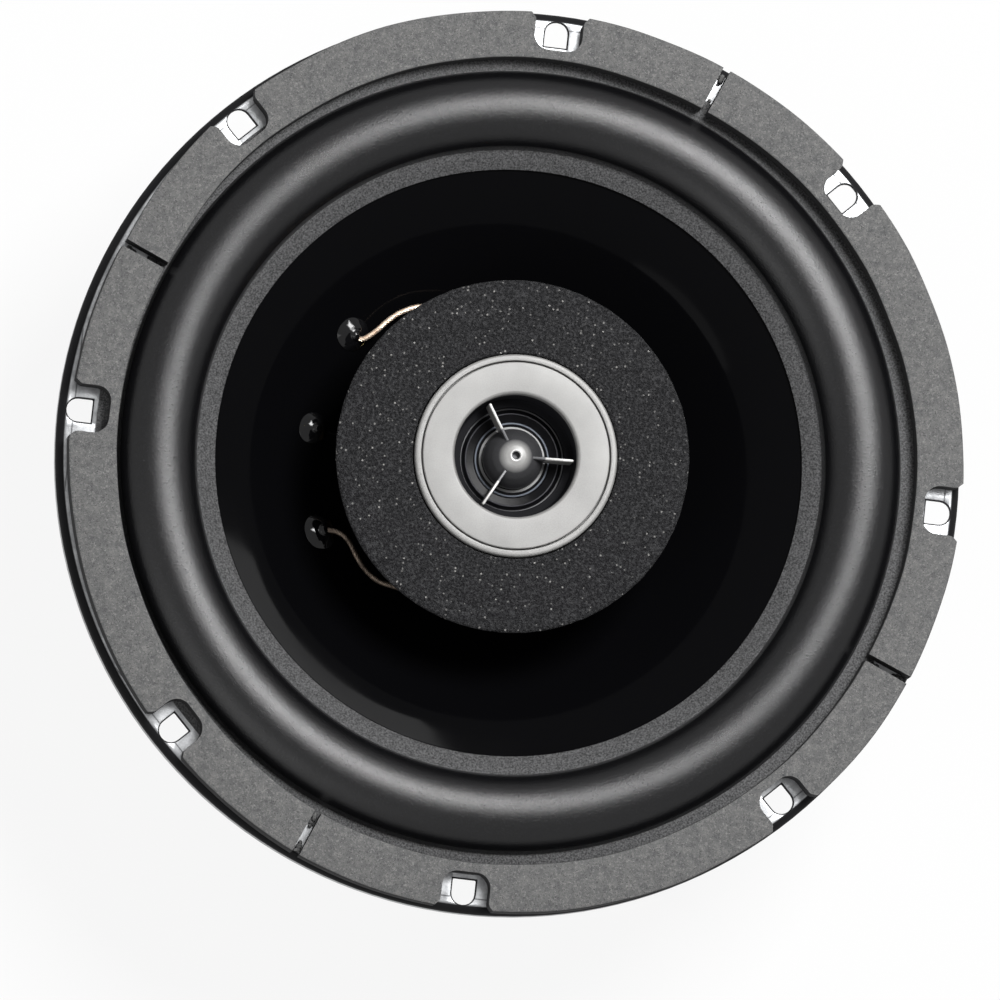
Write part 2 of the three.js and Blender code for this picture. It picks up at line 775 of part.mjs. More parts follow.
// Moves an arc's points in or out by its row of shifts, read along the arc from its middle.
function shiftedArc(geometry, start, end, shifts) {
  const place = geometry.attributes.position;
  const middle = (start + end) / 2;
  const steps = shifts.length - 1;
  for (let i = 0; i < place.count; i += 1) {
    const [x, y] = [place.getX(i), place.getY(i)];
    const turn = THREE.MathUtils.radToDeg(Math.atan2(y, x)) - middle;
    const share = (THREE.MathUtils.euclideanModulo(turn + 180, 360) - 180) / (end - start) + 1 / 2;
    const along = THREE.MathUtils.clamp(share, 0, 1) * steps;
    const index = Math.min(Math.floor(along), steps - 1);
    const shift = THREE.MathUtils.lerp(shifts[index], shifts[index + 1], along - index);
    const scale = 1 + shift / Math.hypot(x, y);
    place.setXY(i, x * scale, y * scale);
  }
  return geometry;
}

// One of the gasket's arcs, with a rebate for the surround's outer lip.
function gasketArc(index) {
  const body = turned(
    [
      [gasketInnerRadius, frameFront],
      [gasketOuterRadius, frameFront],
      [gasketOuterRadius, gasketFront - gasketBevel],
      [gasketOuterRadius - gasketBevel, gasketFront],
      [gasketInnerRadius + gasketBevel, gasketFront],
      [gasketInnerRadius, gasketFront - gasketBevel],
    ],
    ringSides,
  );
  const pitch = 360 / gasketCount;
  const jointHalf = THREE.MathUtils.radToDeg(gasketJointWidth / 2 / gasketInnerRadius);
  const start = gasketJointDegrees + index * pitch + jointHalf;
  const end = gasketJointDegrees + (index + 1) * pitch - jointHalf;
  const arc = geometryOf(solidOf(body).intersect(solidOf(gasketSector(start, end))));
  const notchTool = raised(notchShape(), frameFront - overrun, gasketFront + overrun);
  const notches = anglesRound(holeCount)
    .filter((degrees) => THREE.MathUtils.euclideanModulo(degrees - start, 360) < end - start)
    .map((degrees) => notchTool.clone().rotateZ(radians(degrees)));
  const lipFront = frameFront + surroundThickness;
  const notched = shiftedArc(cut(arc, notches), start, end, gasketArcShifts[index]);
  const rebate = cylinderAt(surroundLipRadius + seatGap, frameFront - overrun, lipFront, ringSides);
  return cut(notched, [rebate]);
}

// The surround's roll is half an ellipse between two flat lips.
function surround() {
  const middle = frameFront + surroundThickness / 2;
  const halfWidth = surroundRollWidth / 2;
  const centre = surroundInnerRadius + halfWidth;
  const roll = Array.from({ length: surroundRollSteps + 1 }, (_, step) => {
    const turn = Math.PI - (Math.PI * step) / surroundRollSteps;
    return [centre + halfWidth * Math.cos(turn), middle + surroundRollHeight * Math.sin(turn)];
  });
  const line = [[coneEdgeRadius + seatGap, middle], ...roll, [surroundLipRadius, middle]];
  return turned(sheetOutline(line, surroundThickness), ringSides);
}

function cone() {
  const wall = coneShares.map((share) => {
    const radius = neckRadius + share * (coneEdgeRadius - neckRadius);
    return [radius, coneHeight(radius)];
  });
  const neck = [neckRadius, coneNeckHeight - coneNeckLength];
  const line = [neck, [neckRadius, coneNeckHeight], ...wall, [coneRimRadius, coneRimMiddle]];
  const body = turned(sheetOutline(line, coneThickness), ringSides);
  const holes = eyeletDegrees.map((degrees) => {
    const place = placeOnCone(new THREE.Object3D(), eyeletRadius, degrees);
    const reach = coneThickness + overrun;
    const tool = cylinderAt(eyeletBarrelRadius + seatGap, -reach, reach, rivetSides);
    return tool.applyMatrix4(place.matrix);
  });
  return cut(body, holes);
}

function voiceCoilFormer() {
  const low = coilMiddle - coilLength / 2 - formerTail;
  return ring(formerRadius - formerWall, formerRadius, low, coneNeckHeight + formerRise, coilSides);
}

function voiceCoilWinding() {
  const half = coilLength / 2;
  return ring(coilInnerRadius, coilOuterRadius, coilMiddle - half, coilMiddle + half, coilSides);
}

// The spider: a collar round the former, rings of waves, and a flat lip on the ledge.
function spider() {
  const middle = ledgeFront + spiderThickness / 2;
  const steps = spiderWaves * 2;
  const waves = Array.from({ length: steps + 1 }, (_, step) => {
    const radius = spiderWaveStart + ((spiderWaveEnd - spiderWaveStart) * step) / steps;
    return [radius, middle + spiderWaveHeight * Math.cos(Math.PI * step)];
  });
  const collar = [
    [spiderCollarRadius, middle + spiderCollarHeight],
    [spiderCollarRadius, middle],
  ];
  const line = [...collar, ...waves, [spiderLipRadius, middle]];
  return turned(sheetOutline(line, spiderThickness), motorSides);
}

// An eyelet rivet, with its heads a little clear of the cone on both sides.
function eyelet() {
  const seat = coneThickness / 2 + seatGap;
  const top = seat + eyeletHeadThickness;
  return turned(
    [
      [eyeletBoreRadius, -top],
      [eyeletHeadRadius, -top],
      [eyeletHeadRadius, -seat],
      [eyeletBarrelRadius, -seat],
      [eyeletBarrelRadius, seat],
      [eyeletHeadRadius, seat],
      [eyeletHeadRadius, top],
      [eyeletBoreRadius, top],
    ],
    rivetSides,
  );
}

// A dome of glue, hollowed to fit over the eyelet's head.
function glueDot() {
  const low = coneThickness / 2 + gluedGap;
  const roof = coneThickness / 2 + seatGap + eyeletHeadThickness + seatGap;
  const dome = glueBends.map((degrees) => {
    const turn = radians(degrees);
    return [glueRadius * Math.cos(turn), low + glueHeight * Math.sin(turn)];
  });
  const hollow = eyeletHeadRadius + seatGap;
  return turned([[0, roof], [hollow, roof], [hollow, low], ...dome, [0, low + glueHeight]], leadSides * 2);
}

// A braid in front of the cone, from its eyelet in under the foam to the tweeter's housing.
function frontBraid(index) {
  const eyeletAngle = eyeletDegrees[frontBraidEyelets[index]];
  const end = tweeterRearRadius + frontBraidEndGap;
  const points = frontBraidShares[index].map(([inShare, turnDegrees, riseShare]) => {
    const reach = THREE.MathUtils.lerp(eyeletRadius, end, inShare);
    const height = THREE.MathUtils.lerp(coneHeight(eyeletRadius), foamBack, riseShare);
    return polar(reach, eyeletAngle + turnDegrees, height);
  });
  return lead(points, braidDiameter);
}

// A braid behind the cone, from its eyelet to the rivet of its terminal.
function rearBraid(index) {
  const across = (1 - index) * terminalPitch;
  const radiusAt = Math.hypot(terminalRivetReach, across);
  const degreesAt = 180 - THREE.MathUtils.radToDeg(Math.atan2(across, terminalRivetReach));
  const end = ledgeBack + smallRivetHeadHeight + seatGap + rearBraidSeat;
  const [radius, height] = [eyeletRadius + rearBraidOffset, coneHeight(eyeletRadius) - rearBraidDrop];
  const points = rearBraidShares.map(([radiusShare, turnShare, dropShare]) => {
    const degrees = THREE.MathUtils.lerp(eyeletDegrees[index], degreesAt, turnShare);
    const reach = THREE.MathUtils.lerp(radius, radiusAt, radiusShare);
    return polar(reach, degrees, THREE.MathUtils.lerp(height, end, dropShare));
  });
  return lead(points, braidDiameter);
}

// A wire of the capacitor, from its end round to a terminal; side is 1 or -1.
function capacitorWire(side, rows) {
  const points = rows.map(([outShare, acrossShare, riseShare]) => {
    const x = THREE.MathUtils.lerp(capacitorReach, terminalRivetReach + capacitorWireReach, outShare);
    const y = side * (capacitorLength / 2 + seatGap) * acrossShare;
    const z = THREE.MathUtils.lerp(capacitorMiddle, terminalBack - capacitorLeadDiameter, riseShare);
    return new THREE.Vector3(-x, y, z);
  });
  return lead(points, capacitorLeadDiameter);
}

// A coil wire glued to the cone's face, straight in from the edge of the glue to the neck.
function coilLead(degrees) {
  const start = eyeletRadius - glueRadius - gluedGap;
  const rise = coneThickness / 2 + seatGap + coilLeadDiameter / 2;
  const points = Array.from({ length: coilLeadSteps + 1 }, (_, step) => {
    const radius = start + ((coilLeadEndRadius - start) * step) / coilLeadSteps;
    const tilt = coneTilt(radius);
    return polar(radius - rise * Math.sin(tilt), degrees, coneHeight(radius) + rise * Math.cos(tilt));
  });
  return lead(points, coilLeadDiameter, coilLeadRun);
}

function boardRivetHoles(low, high) {
  const radius = smallRivetRadius + seatGap;
  return [-1, 1].map((side) => {
    return cylinderAt(radius, low, high, rivetSides, -boardRivetReach, (side * boardRivetPitch) / 2);
  });
}

function terminalRivetHole(low, high, y) {
  return cylinderAt(smallRivetRadius + seatGap, low, high, rivetSides, -terminalRivetReach, y);
}

function terminalBoard() {
  const plate = roundedPlate(-boardOuterReach, -boardInnerReach, boardWidth, tabCornerRadius);
  const low = boardBack - overrun;
  const high = ledgeBack + overrun;
  const terminalHoles = [-1, 0, 1].map((side) => terminalRivetHole(low, high, side * terminalPitch));
  return cut(raised(plate, boardBack, ledgeBack), [...boardRivetHoles(low, high), ...terminalHoles]);
}

// A rivet with a flat head at each end of what it holds.
function smallRivet(low, high) {
  return turned(
    [
      [0, low - smallRivetHeadHeight],
      [smallRivetHeadRadius, low - smallRivetHeadHeight],
      [smallRivetHeadRadius, low],
      [smallRivetRadius, low],
      [smallRivetRadius, high],
      [smallRivetHeadRadius, high],
      [smallRivetHeadRadius, high + smallRivetHeadHeight],
      [0, high + smallRivetHeadHeight],
    ],
    rivetSides,
  );
}

// A terminal blade with its tip tapered on both sides.
function terminal(width, reach) {
  const half = width / 2;
  const back = terminalTail - terminalRivetReach;
  const shape = new THREE.Shape();
  shape.moveTo(back, -half);
  shape.lineTo(back, half);
  shape.lineTo(terminalTaper - reach, half);
  shape.lineTo(-reach, half - terminalTaper);
  shape.lineTo(-reach, terminalTaper - half);
  shape.lineTo(terminalTaper - reach, -half);
  const hole = terminalRivetHole(terminalBack - overrun, boardBack + overrun, 0);
  return cut(raised(shape, terminalBack, boardBack), [hole]);
}

function capacitor() {
  const half = capacitorLength / 2;
  const body = turned(
    [
      [0, -half],
      [capacitorRadius - capacitorBevel, -half],
      [capacitorRadius, capacitorBevel - half],
      [capacitorRadius, half - capacitorBevel],
      [capacitorRadius - capacitorBevel, half],
      [0, half],
    ],
    leadSides * 2,
  );
  return body.rotateX(radians(90));
}

function tweeterPost() {
  const shoulder = poleFront + postShoulderHeight;
  return turned(
    [
      [0, postTail],
      [postShankRadius, postTail],
      [postShankRadius, poleFront],
      [postShoulderRadius, poleFront],
      [postShoulderRadius, shoulder - edgeBreak],
      [postColumnRadius, shoulder],
      [postColumnRadius, tweeterRear],
      [postSpigotRadius, tweeterRear],
      [postSpigotRadius, tweeterRear + postSpigotHeight],
      [0, tweeterRear + postSpigotHeight],
    ],
    smallSides,
  );
}

function postWasher() {
  const high = nutRecessDepth;
  return ring(poleBoreRadius, washerRadius, high - washerThickness, high, smallSides);
}

function postNut() {
  const high = nutRecessDepth - washerThickness;
  const cornerRadius = nutAcrossFlats / 2 / Math.cos(radians(30));
  const corners = anglesRound(6).map((degrees) => flatPolar(cornerRadius, radians(degrees)));
  const shape = new THREE.Shape(corners.map(([x, y]) => new THREE.Vector2(x, y)));
  const bore = cylinderAt(poleBoreRadius, 0, nutRecessDepth, smallSides);
  return cut(raised(shape, high - nutHeight, high), [bore]);
}

function tweeterHousing() {
  const flareLow = tweeterFront - tweeterFlareDepth;
  const flareHigh = flareLow + tweeterFlareHeight;
  return turned(
    [
      [postSpigotRadius + seatGap, tweeterRear],
      [tweeterRearRadius - edgeBreak, tweeterRear],
      [tweeterRearRadius, tweeterRear + edgeBreak],
      [tweeterRearRadius, flareLow],
      [tweeterFrontRadius, flareHigh],
      [tweeterFrontRadius, tweeterFront - tweeterRimBevel],
      [tweeterFrontRadius - tweeterRimBevel, tweeterFront],
      [housingFrontBore, tweeterFront],
      [housingFrontBore, frontLedge],
      [housingMiddleBore, frontLedge],
      [housingMiddleBore, diaphragmSeat],
      [diaphragmLedgeRadius, diaphragmSeat],
      [diaphragmLedgeRadius, yokeRear],
      [postSpigotRadius + seatGap, yokeRear],
    ],
    tweeterSides,
  );
}

function frontRing() {
  const outer = housingFrontBore - seatGap;
  return turned(
    [
      [frontRingBoreRadius, frontLedge],
      [outer, frontLedge],
      [outer, tweeterFront - edgeBreak / 2],
      [outer - edgeBreak / 2, tweeterFront],
      [frontRingBoreRadius + frontRingRound, tweeterFront],
      [frontRingBoreRadius + frontRingRound * roundShare, tweeterFront - frontRingRound * roundShare],
      [frontRingBoreRadius, tweeterFront - frontRingRound],
    ],
    tweeterSides,
  );
}

function throat() {
  const roof = throatLedge - throatLedgeThickness;
  const skirt = diaphragmSeat + filmThickness + seatGap * 2;
  return turned(
    [
      [throatOpeningRadius, roof],
      [diaphragmLedgeRadius, roof],
      [diaphragmLedgeRadius, skirt],
      [housingMiddleBore - seatGap, skirt],
      [housingMiddleBore - seatGap, frontLedge],
      [frontRingBoreRadius, frontLedge],
      [throatWallRadius, throatLedge],
      [throatOpeningRadius, throatLedge],
    ],
    tweeterSides,
  );
}

// The bullet on its three fins, which stand on the throat's ledge.
function phasePlug() {
  const tip = tweeterFront - plugTipDrop;
  const height = tip - throatLedge;
  const side = plugHeightShares.map((share, index) => {
    return [plugRadius * plugRadiusShares[index], throatLedge + height * share];
  });
  const hole = [[plugHoleRadius, tip], [plugHoleRadius, tip - plugHoleDepth], [0, tip - plugHoleDepth]];
  let body = solidOf(turned([[0, throatLedge], ...side, ...hole], tweeterSides));
  const finLength = throatWallRadius - seatGap - finRootRadius;
  const finHeight = tweeterFront - finTopDrop - throatLedge;
  anglesRound(finCount).forEach((degrees) => {
    const fin = new THREE.BoxGeometry(finLength, finThickness, finHeight);
    fin.translate(finRootRadius + finLength / 2, 0, throatLedge + finHeight / 2);
    body = body.add(solidOf(fin.rotateZ(radians(finDegrees + degrees))));
  });
  return geometryOf(body);
}

// One film: the stepped dome, the roll round it and the lip between its seats.
function tweeterDiaphragm() {
  const middle = diaphragmSeat + seatGap + filmThickness / 2;
  const dome = domeRadiusShares.map((share, index) => {
    return [domeRadius * share, middle + domeHeight * domeHeightShares[index]];
  });
  const rollMiddle = (tweeterRollInnerRadius + tweeterRollOuterRadius) / 2;
  const lip = housingMiddleBore - seatGap;
  return turned(
    sheetOutline(
      [
        ...dome,
        [tweeterRollInnerRadius, middle + tweeterRollHeight * tweeterRollStartShare],
        [rollMiddle, middle + tweeterRollHeight],
        [tweeterRollOuterRadius, middle],
        [lip, middle],
      ],
      filmThickness,
    ),
    smallSides,
  );
}

function tweeterCoil() {
  const half = tweeterCoilWall / 2;
  const high = diaphragmSeat + domeHeight * domeHeightShares[domeHeightShares.length - 1] - seatGap / 2;
  return ring(domeRadius - half, domeRadius + half, high - tweeterCoilLength, high, smallSides);
}

function tweeterYoke() {
  return turned(
    [
      [0, yokeRear],
      [yokeWallRadius, yokeRear],
      [yokeWallRadius, yokeFront],
      [yokeBoreRadius, yokeFront],
      [yokeBoreRadius, yokeRear + yokeFloor],
      [0, yokeRear + yokeFloor],
    ],
    smallSides,
  );
}

function tweeterMagnet() {
  const low = yokeRear + yokeFloor;
  const high = yokeFront - polePlateThickness;
  const radius = polePlateRadius - polePlateInset;
  return turned([[0, low], [radius, low], [radius, high], [0, high]], smallSides);
}

function tweeterPolePlate() {
  const low = yokeFront - polePlateThickness;
  const outline = [[0, low], [polePlateRadius, low], [polePlateRadius, yokeFront], [0, yokeFront]];
  return turned(outline, smallSides);
}

function foamRing() {
  const inner = tweeterFrontRadius + seatGap;
  return turned(
    [
      [inner, foamBack],
      [foamRadius - foamRound, foamBack],
      [foamRadius, foamBack + foamRound],
      [foamRadius, foamFront - foamRound],
      [foamRadius - foamRound * roundShare, foamFront - foamRound * roundShare],
      [foamRadius - foamRound, foamFront],
      [inner, foamFront],
    ],
    tweeterSides,
  );
}

// The scene graph

function piece(name, geometry, finish) {
  const mesh = new THREE.Mesh(closedGeometry(geometry), material(finish));
  mesh.name = name;
  return mesh;
}

function motorPieces() {
  const pieces = [
    piece('yoke', yoke(), 'darkSteel'),
    piece('ferrite_magnet', ferriteMagnet(), 'ferrite'),
    piece('top_plate', topPlate(), 'darkSteel'),
  ];
  motorRivetPlaces.forEach((place, index) => {
    const rivet = piece(`motor_rivet_${index + 1}`, motorRivet(), 'tinned');
    rivet.position.copy(place);
    pieces.push(rivet);
  });
  return pieces;
}

function gasketPieces() {
  const places = Array.from({ length: gasketCount }, (_, index) => index);
  return places.map((index) => piece(`gasket_${index + 1}`, gasketArc(index), 'corkRubber'));
}

function terminalPieces() {
  const board = piece('terminal_board', terminalBoard(), 'phenolic');
  const positive = piece('terminal_positive', terminal(positiveWidth, bladeReach), 'tinned');
  positive.position.y = terminalPitch;
  const negative = piece('terminal_negative', terminal(negativeWidth, bladeReach), 'tinned');
  negative.position.y = -terminalPitch;
  const tag = piece('tweeter_tag', terminal(tagWidth, tagReach), 'tinned');
  const rivets = [-1, 0, 1].map((side, index) => {
    const rivet = piece(`terminal_rivet_${index + 1}`, smallRivet(terminalBack, ledgeBack), 'tinned');
    rivet.position.set(-terminalRivetReach, side * terminalPitch, 0);
    return rivet;
  });
  const boardRivets = [-1, 1].map((side, index) => {
    const rivet = piece(`board_rivet_${index + 1}`, smallRivet(boardBack, ledgeFront), 'tinned');
    rivet.position.set(-boardRivetReach, (side * boardRivetPitch) / 2, 0);
    return rivet;
  });
  const body = piece('crossover_capacitor', capacitor(), 'blackPlastic');
  body.position.set(-capacitorReach, 0, capacitorMiddle);
  const wires = capacitorWireShares.map((rows, index) => {
    return piece(`capacitor_wire_${index + 1}`, capacitorWire(1 - index * 2, rows), 'tinned');
  });
  return [board, positive, negative, tag, ...rivets, ...boardRivets, body, ...wires];
}

function conePieces() {
  const pieces = [
    piece('cone', cone(), 'glossCone'),
    piece('voice_coil_former', voiceCoilFormer(), 'coilPaper'),
    piece('voice_coil_winding', voiceCoilWinding(), 'copper'),
  ];
  eyeletDegrees.forEach((degrees, index) => {
    const place = placeOnCone(new THREE.Group(), eyeletRadius, degrees);
    place.add(piece(`eyelet_${index + 1}`, eyelet(), 'brass'));
    place.add(piece(`glue_dot_${index + 1}`, glueDot(), 'glue'));
    pieces.push(place);
  });
  eyeletDegrees.slice(0, 2).forEach((degrees, index) => {
    pieces.push(piece(`coil_lead_${index + 1}`, coilLead(degrees), 'glue'));
  });
  return pieces;
}

function suspensionPieces() {
  return [
    piece('surround', surround(), 'surroundRubber'),
    piece('spider', spider(), 'spiderCloth'),
    ...frontBraidEyelets.map((_, index) => piece(`front_braid_${index + 1}`, frontBraid(index), 'copper')),
    ...eyeletDegrees.map((_, index) => piece(`rear_braid_${index + 1}`, rearBraid(index), 'copper')),
  ];
}

function tweeterPieces() {
  return [
    piece('tweeter_post', tweeterPost(), 'blackPlastic'),
    piece('post_washer', postWasher(), 'tinned'),
    piece('post_nut', postNut(), 'tinned'),
    piece('tweeter_housing', tweeterHousing(), 'satinSilver'),
    piece('tweeter_front_ring', frontRing(), 'satinSilver'),
    piece('tweeter_throat', throat(), 'blackPlastic'),
    piece('phase_plug', phasePlug(), 'satinSilver'),
    piece('tweeter_yoke', tweeterYoke(), 'tinned'),
    piece('tweeter_magnet', tweeterMagnet(), 'neodymium'),
    piece('tweeter_pole_plate', tweeterPolePlate(), 'tinned'),
    piece('foam_ring', foamRing(), 'foam'),
  ];
}

function diaphragmPieces() {
  return [
    piece('tweeter_diaphragm', tweeterDiaphragm(), 'glossFilm'),
    piece('tweeter_coil', tweeterCoil(), 'copper'),
  ];
}

const speaker = new THREE.Group();
speaker.add(
  piece('basket', basket(), 'brightSteel'),
  ...motorPieces(),
  ...gasketPieces(),
  ...terminalPieces(),
  ...conePieces(),
  ...suspensionPieces(),
  ...tweeterPieces(),
  ...diaphragmPieces(),
);

export default speaker;
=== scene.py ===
from math import atan, ceil, cos, degrees, hypot, pi, radians, sin, tan, tau

import bpy
from mathutils import Matrix, Vector, noise
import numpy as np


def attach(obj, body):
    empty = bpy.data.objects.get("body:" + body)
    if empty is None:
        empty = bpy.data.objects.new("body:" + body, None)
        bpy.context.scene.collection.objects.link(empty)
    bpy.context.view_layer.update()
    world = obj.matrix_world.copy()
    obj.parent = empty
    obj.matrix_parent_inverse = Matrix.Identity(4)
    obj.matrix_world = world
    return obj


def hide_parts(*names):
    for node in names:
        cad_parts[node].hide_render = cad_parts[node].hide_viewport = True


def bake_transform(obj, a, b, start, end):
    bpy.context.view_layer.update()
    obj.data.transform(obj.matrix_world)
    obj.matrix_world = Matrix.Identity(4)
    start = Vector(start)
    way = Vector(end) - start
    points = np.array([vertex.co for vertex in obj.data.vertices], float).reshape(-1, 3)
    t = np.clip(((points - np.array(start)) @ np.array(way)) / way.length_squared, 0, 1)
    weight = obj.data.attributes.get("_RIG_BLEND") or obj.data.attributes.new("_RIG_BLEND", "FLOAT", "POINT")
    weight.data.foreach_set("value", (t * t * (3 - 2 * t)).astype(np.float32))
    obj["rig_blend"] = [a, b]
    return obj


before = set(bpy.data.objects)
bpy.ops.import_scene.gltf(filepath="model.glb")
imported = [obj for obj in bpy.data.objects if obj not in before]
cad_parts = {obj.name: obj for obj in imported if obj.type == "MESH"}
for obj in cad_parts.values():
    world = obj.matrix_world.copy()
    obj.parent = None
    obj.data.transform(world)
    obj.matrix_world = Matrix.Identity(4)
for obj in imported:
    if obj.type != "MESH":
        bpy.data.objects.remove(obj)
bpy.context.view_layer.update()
mm = 0.001

# The picture's directions in the speaker's frame
pictureTurn = 6.2  # degrees from +X to the picture's right
right = Vector((cos(radians(pictureTurn)), sin(radians(pictureTurn)), 0))
up = Vector((-sin(radians(pictureTurn)), cos(radians(pictureTurn)), 0))
axis = Vector((0, 0, 1))

view = {
    "back": (-0.094, -0.115, 0.988),  # from the speaker to the camera
    "distance": 2.6,
    "field": 0.2307,  # width of the picture at the flange
    "height": 80 * mm,
    "right": -2.3 * mm,  # aim point beside and below the flange's centre
    "up": -8.85 * mm,
}


def placeCamera():
    back = Vector(view["back"]).normalized()
    upwards = (up - back * up.dot(back)).normalized()
    rightwards = upwards.cross(back)
    aim = axis * view["height"] + rightwards * view["right"] + upwards * view["up"]
    bpy.ops.object.camera_add(location=aim + back * view["distance"])
    camera = bpy.context.object
    camera.name = "photoCamera"
    camera.rotation_mode = "QUATERNION"
    camera.rotation_quaternion = Matrix((rightwards, upwards, back)).transposed().to_quaternion()
    camera.data.sensor_width = 36
    camera.data.lens = 36 * view["distance"] / view["field"]
    camera.data.clip_end = 20
    bpy.context.scene.camera = camera


placeCamera()
print("camera placed")


# Tools that the pieces share

def deselect():
    if bpy.context.object and bpy.context.object.mode != "OBJECT":
        bpy.ops.object.mode_set(mode="OBJECT")
    bpy.ops.object.select_all(action="DESELECT")


def pick(piece):
    deselect()
    piece.select_set(True)
    bpy.context.view_layer.objects.active = piece


def selectAll():
    bpy.ops.mesh.select_all(action="SELECT")


def editMode(kind="VERT"):
    bpy.ops.object.mode_set(mode="EDIT")
    bpy.ops.mesh.select_mode(type=kind)
    selectAll()


def closeUp():  # faces turned outward, back to object mode
    selectAll()
    bpy.ops.mesh.normals_make_consistent(inside=False)
    deselect()


def settle(piece):  # the place goes into the mesh
    pick(piece)
    bpy.ops.object.transform_apply(location=True, rotation=True, scale=True)


def drawLine(name, points, closed=False):  # one vertex, extruded from point to point
    deselect()
    route = [Vector(point) for point in points]
    if closed:
        route.append(route[0])
    bpy.ops.mesh.primitive_plane_add(size=mm, location=route[0])
    piece = bpy.context.object
    piece.name = name
    editMode()
    bpy.ops.mesh.merge(type="CENTER")
    for here, there in zip(route, route[1:]):
        bpy.ops.mesh.extrude_region_move(TRANSFORM_OT_translate={"value": there - here})
    selectAll()
    bpy.ops.mesh.remove_doubles(threshold=1e-7)
    return piece


def filleted(points, closed=False, step=18):  # points are (across, height, fillet radius)
    count = len(points)
    line = []
    for index, point in enumerate(points):
        here = Vector(point[:2])
        radius = point[2] if len(point) > 2 else 0
        if not radius or (not closed and index in (0, count - 1)):
            line.append(tuple(here))
            continue
        before = Vector(points[index - 1][:2]) - here
        after = Vector(points[(index + 1) % count][:2]) - here
        half = before.angle(after) / 2
        reach = min(radius / tan(half), before.length * 0.49, after.length * 0.49)
        radius = reach * tan(half)
        start, end = before.normalized() * reach, after.normalized() * reach
        centre = (start + end).normalized() * radius / sin(half)
        steps = max(2, ceil((180 - degrees(half) * 2) / step))
        sweep = (start - centre).angle_signed(end - centre)
        for k in range(steps + 1):
            spot = here + centre + Matrix.Rotation(-sweep * k / steps, 2) @ (start - centre)
            line.append(tuple(spot))
    return line


def spin(name, outline, sides=96, closed=True, step=18, start=0, sweep=360):
    turn = radians(start + sweep)  # the spin runs clockwise, back to the start
    line = filleted(outline, closed, step)
    points = [(r * mm * cos(turn), r * mm * sin(turn), z * mm) for r, z in line]
    piece = drawLine(name, points, closed)
    bpy.ops.mesh.spin(steps=sides, angle=radians(sweep), center=(0, 0, 0), axis=(0, 0, 1))
    selectAll()
    bpy.ops.mesh.remove_doubles(threshold=2e-6)
    closeUp()
    settle(piece)
    return piece


def slab(name, outline, low, high, step=18):  # a flat outline raised between two heights
    line = filleted(outline, True, step)
    piece = drawLine(name, [(x * mm, y * mm, low * mm) for x, y in line], True)
    bpy.ops.mesh.edge_face_add()
    bpy.ops.mesh.extrude_region_move(TRANSFORM_OT_translate={"value": (0, 0, (high - low) * mm)})
    closeUp()
    settle(piece)
    return piece


def addModifier(piece, kind, **settings):
    pick(piece)
    modifier = piece.modifiers.new(kind.title(), kind)
    for key, value in settings.items():
        setattr(modifier, key, value)
    bpy.ops.object.modifier_apply(modifier=modifier.name)


def thicken(piece, thickness):
    addModifier(piece, "SOLIDIFY", thickness=thickness * mm, offset=0, use_even_offset=True)


def soften(piece, width, segments=2, angle=35):
    addModifier(
        piece, "BEVEL", width=width * mm, segments=segments, limit_method="ANGLE", angle_limit=radians(angle),
        harden_normals=False)


def carve(piece, tool, operation="DIFFERENCE"):
    addModifier(piece, "BOOLEAN", operation=operation, object=tool, solver="EXACT")
    bpy.data.objects.remove(tool)


def turned(piece, turn, move=(0, 0, 0)):  # degrees round the axis, then millimetres along
    piece.data.transform(Matrix.Translation(Vector(move) * mm) @ Matrix.Rotation(radians(turn), 4, "Z"))
    return piece


def merged(pieces, name):
    deselect()
    for piece in pieces:
        piece.select_set(True)
    bpy.context.view_layer.objects.active = pieces[0]
    bpy.ops.object.join()
    pieces[0].name = name
    return pieces[0]


def dressPiece(piece, slot, material, *nodes, body="chassis", angle=32):
    pick(piece)
    bpy.ops.object.shade_smooth_by_angle(angle=radians(angle))
    piece.data.materials.clear()
    piece.data.materials.append(material)
    if body:
        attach(piece, body)
    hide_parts(*nodes)


def around(radius, angle, height=0):
    return Vector((radius * cos(radians(angle)), radius * sin(radians(angle)), height))


# Material building blocks

def newMaterial(name, colour, roughness, metallic=0.0, specular=0.5):
    material = bpy.data.materials.new(name)
    material.use_nodes = True
    shader = material.node_tree.nodes["Principled BSDF"]
    for socket, value in (
            ("Base Color", (*colour, 1)), ("Roughness", roughness), ("Metallic", metallic),
            ("Specular IOR Level", specular)):
        shader.inputs[socket].default_value = value
    return material, material.node_tree


def put(tree, kind, inputs=None, **settings):
    node = tree.nodes.new("ShaderNode" + kind)
    for key, value in settings.items():
        setattr(node, key, value)
    for key, value in (inputs or {}).items():
        if isinstance(value, bpy.types.NodeSocket):
            tree.links.new(value, node.inputs[key])
        else:
            node.inputs[key].default_value = value
    return node


def place(tree, scale=(1, 1, 1)):
    coordinates = put(tree, "TexCoord")
    return put(tree, "Mapping", {"Vector": coordinates.outputs["Object"], "Scale": scale}).outputs["Vector"]


def grain(tree, scale, detail=3, roughness=0.55, stretch=(1, 1, 1)):
    return put(tree, "TexNoise", {
        "Vector": place(tree, stretch), "Scale": scale, "Detail": detail, "Roughness": roughness}).outputs["Fac"]


def ranged(tree, value, low, high, toLow=0.0, toHigh=1.0):
    return put(tree, "MapRange", {
        "Value": value, "From Min": low, "From Max": high, "To Min": toLow, "To Max": toHigh}).outputs["Result"]


def maths(tree, operation, a, b=0.0):
    return put(tree, "Math", {0: a, 1: b}, operation=operation).outputs[0]


def rangedMm(tree, value, span, toLow=0.0, toHigh=1.0):  # a span in millimetres, of a value in metres
    return ranged(tree, value, span[0] * mm, span[1] * mm, toLow, toHigh)


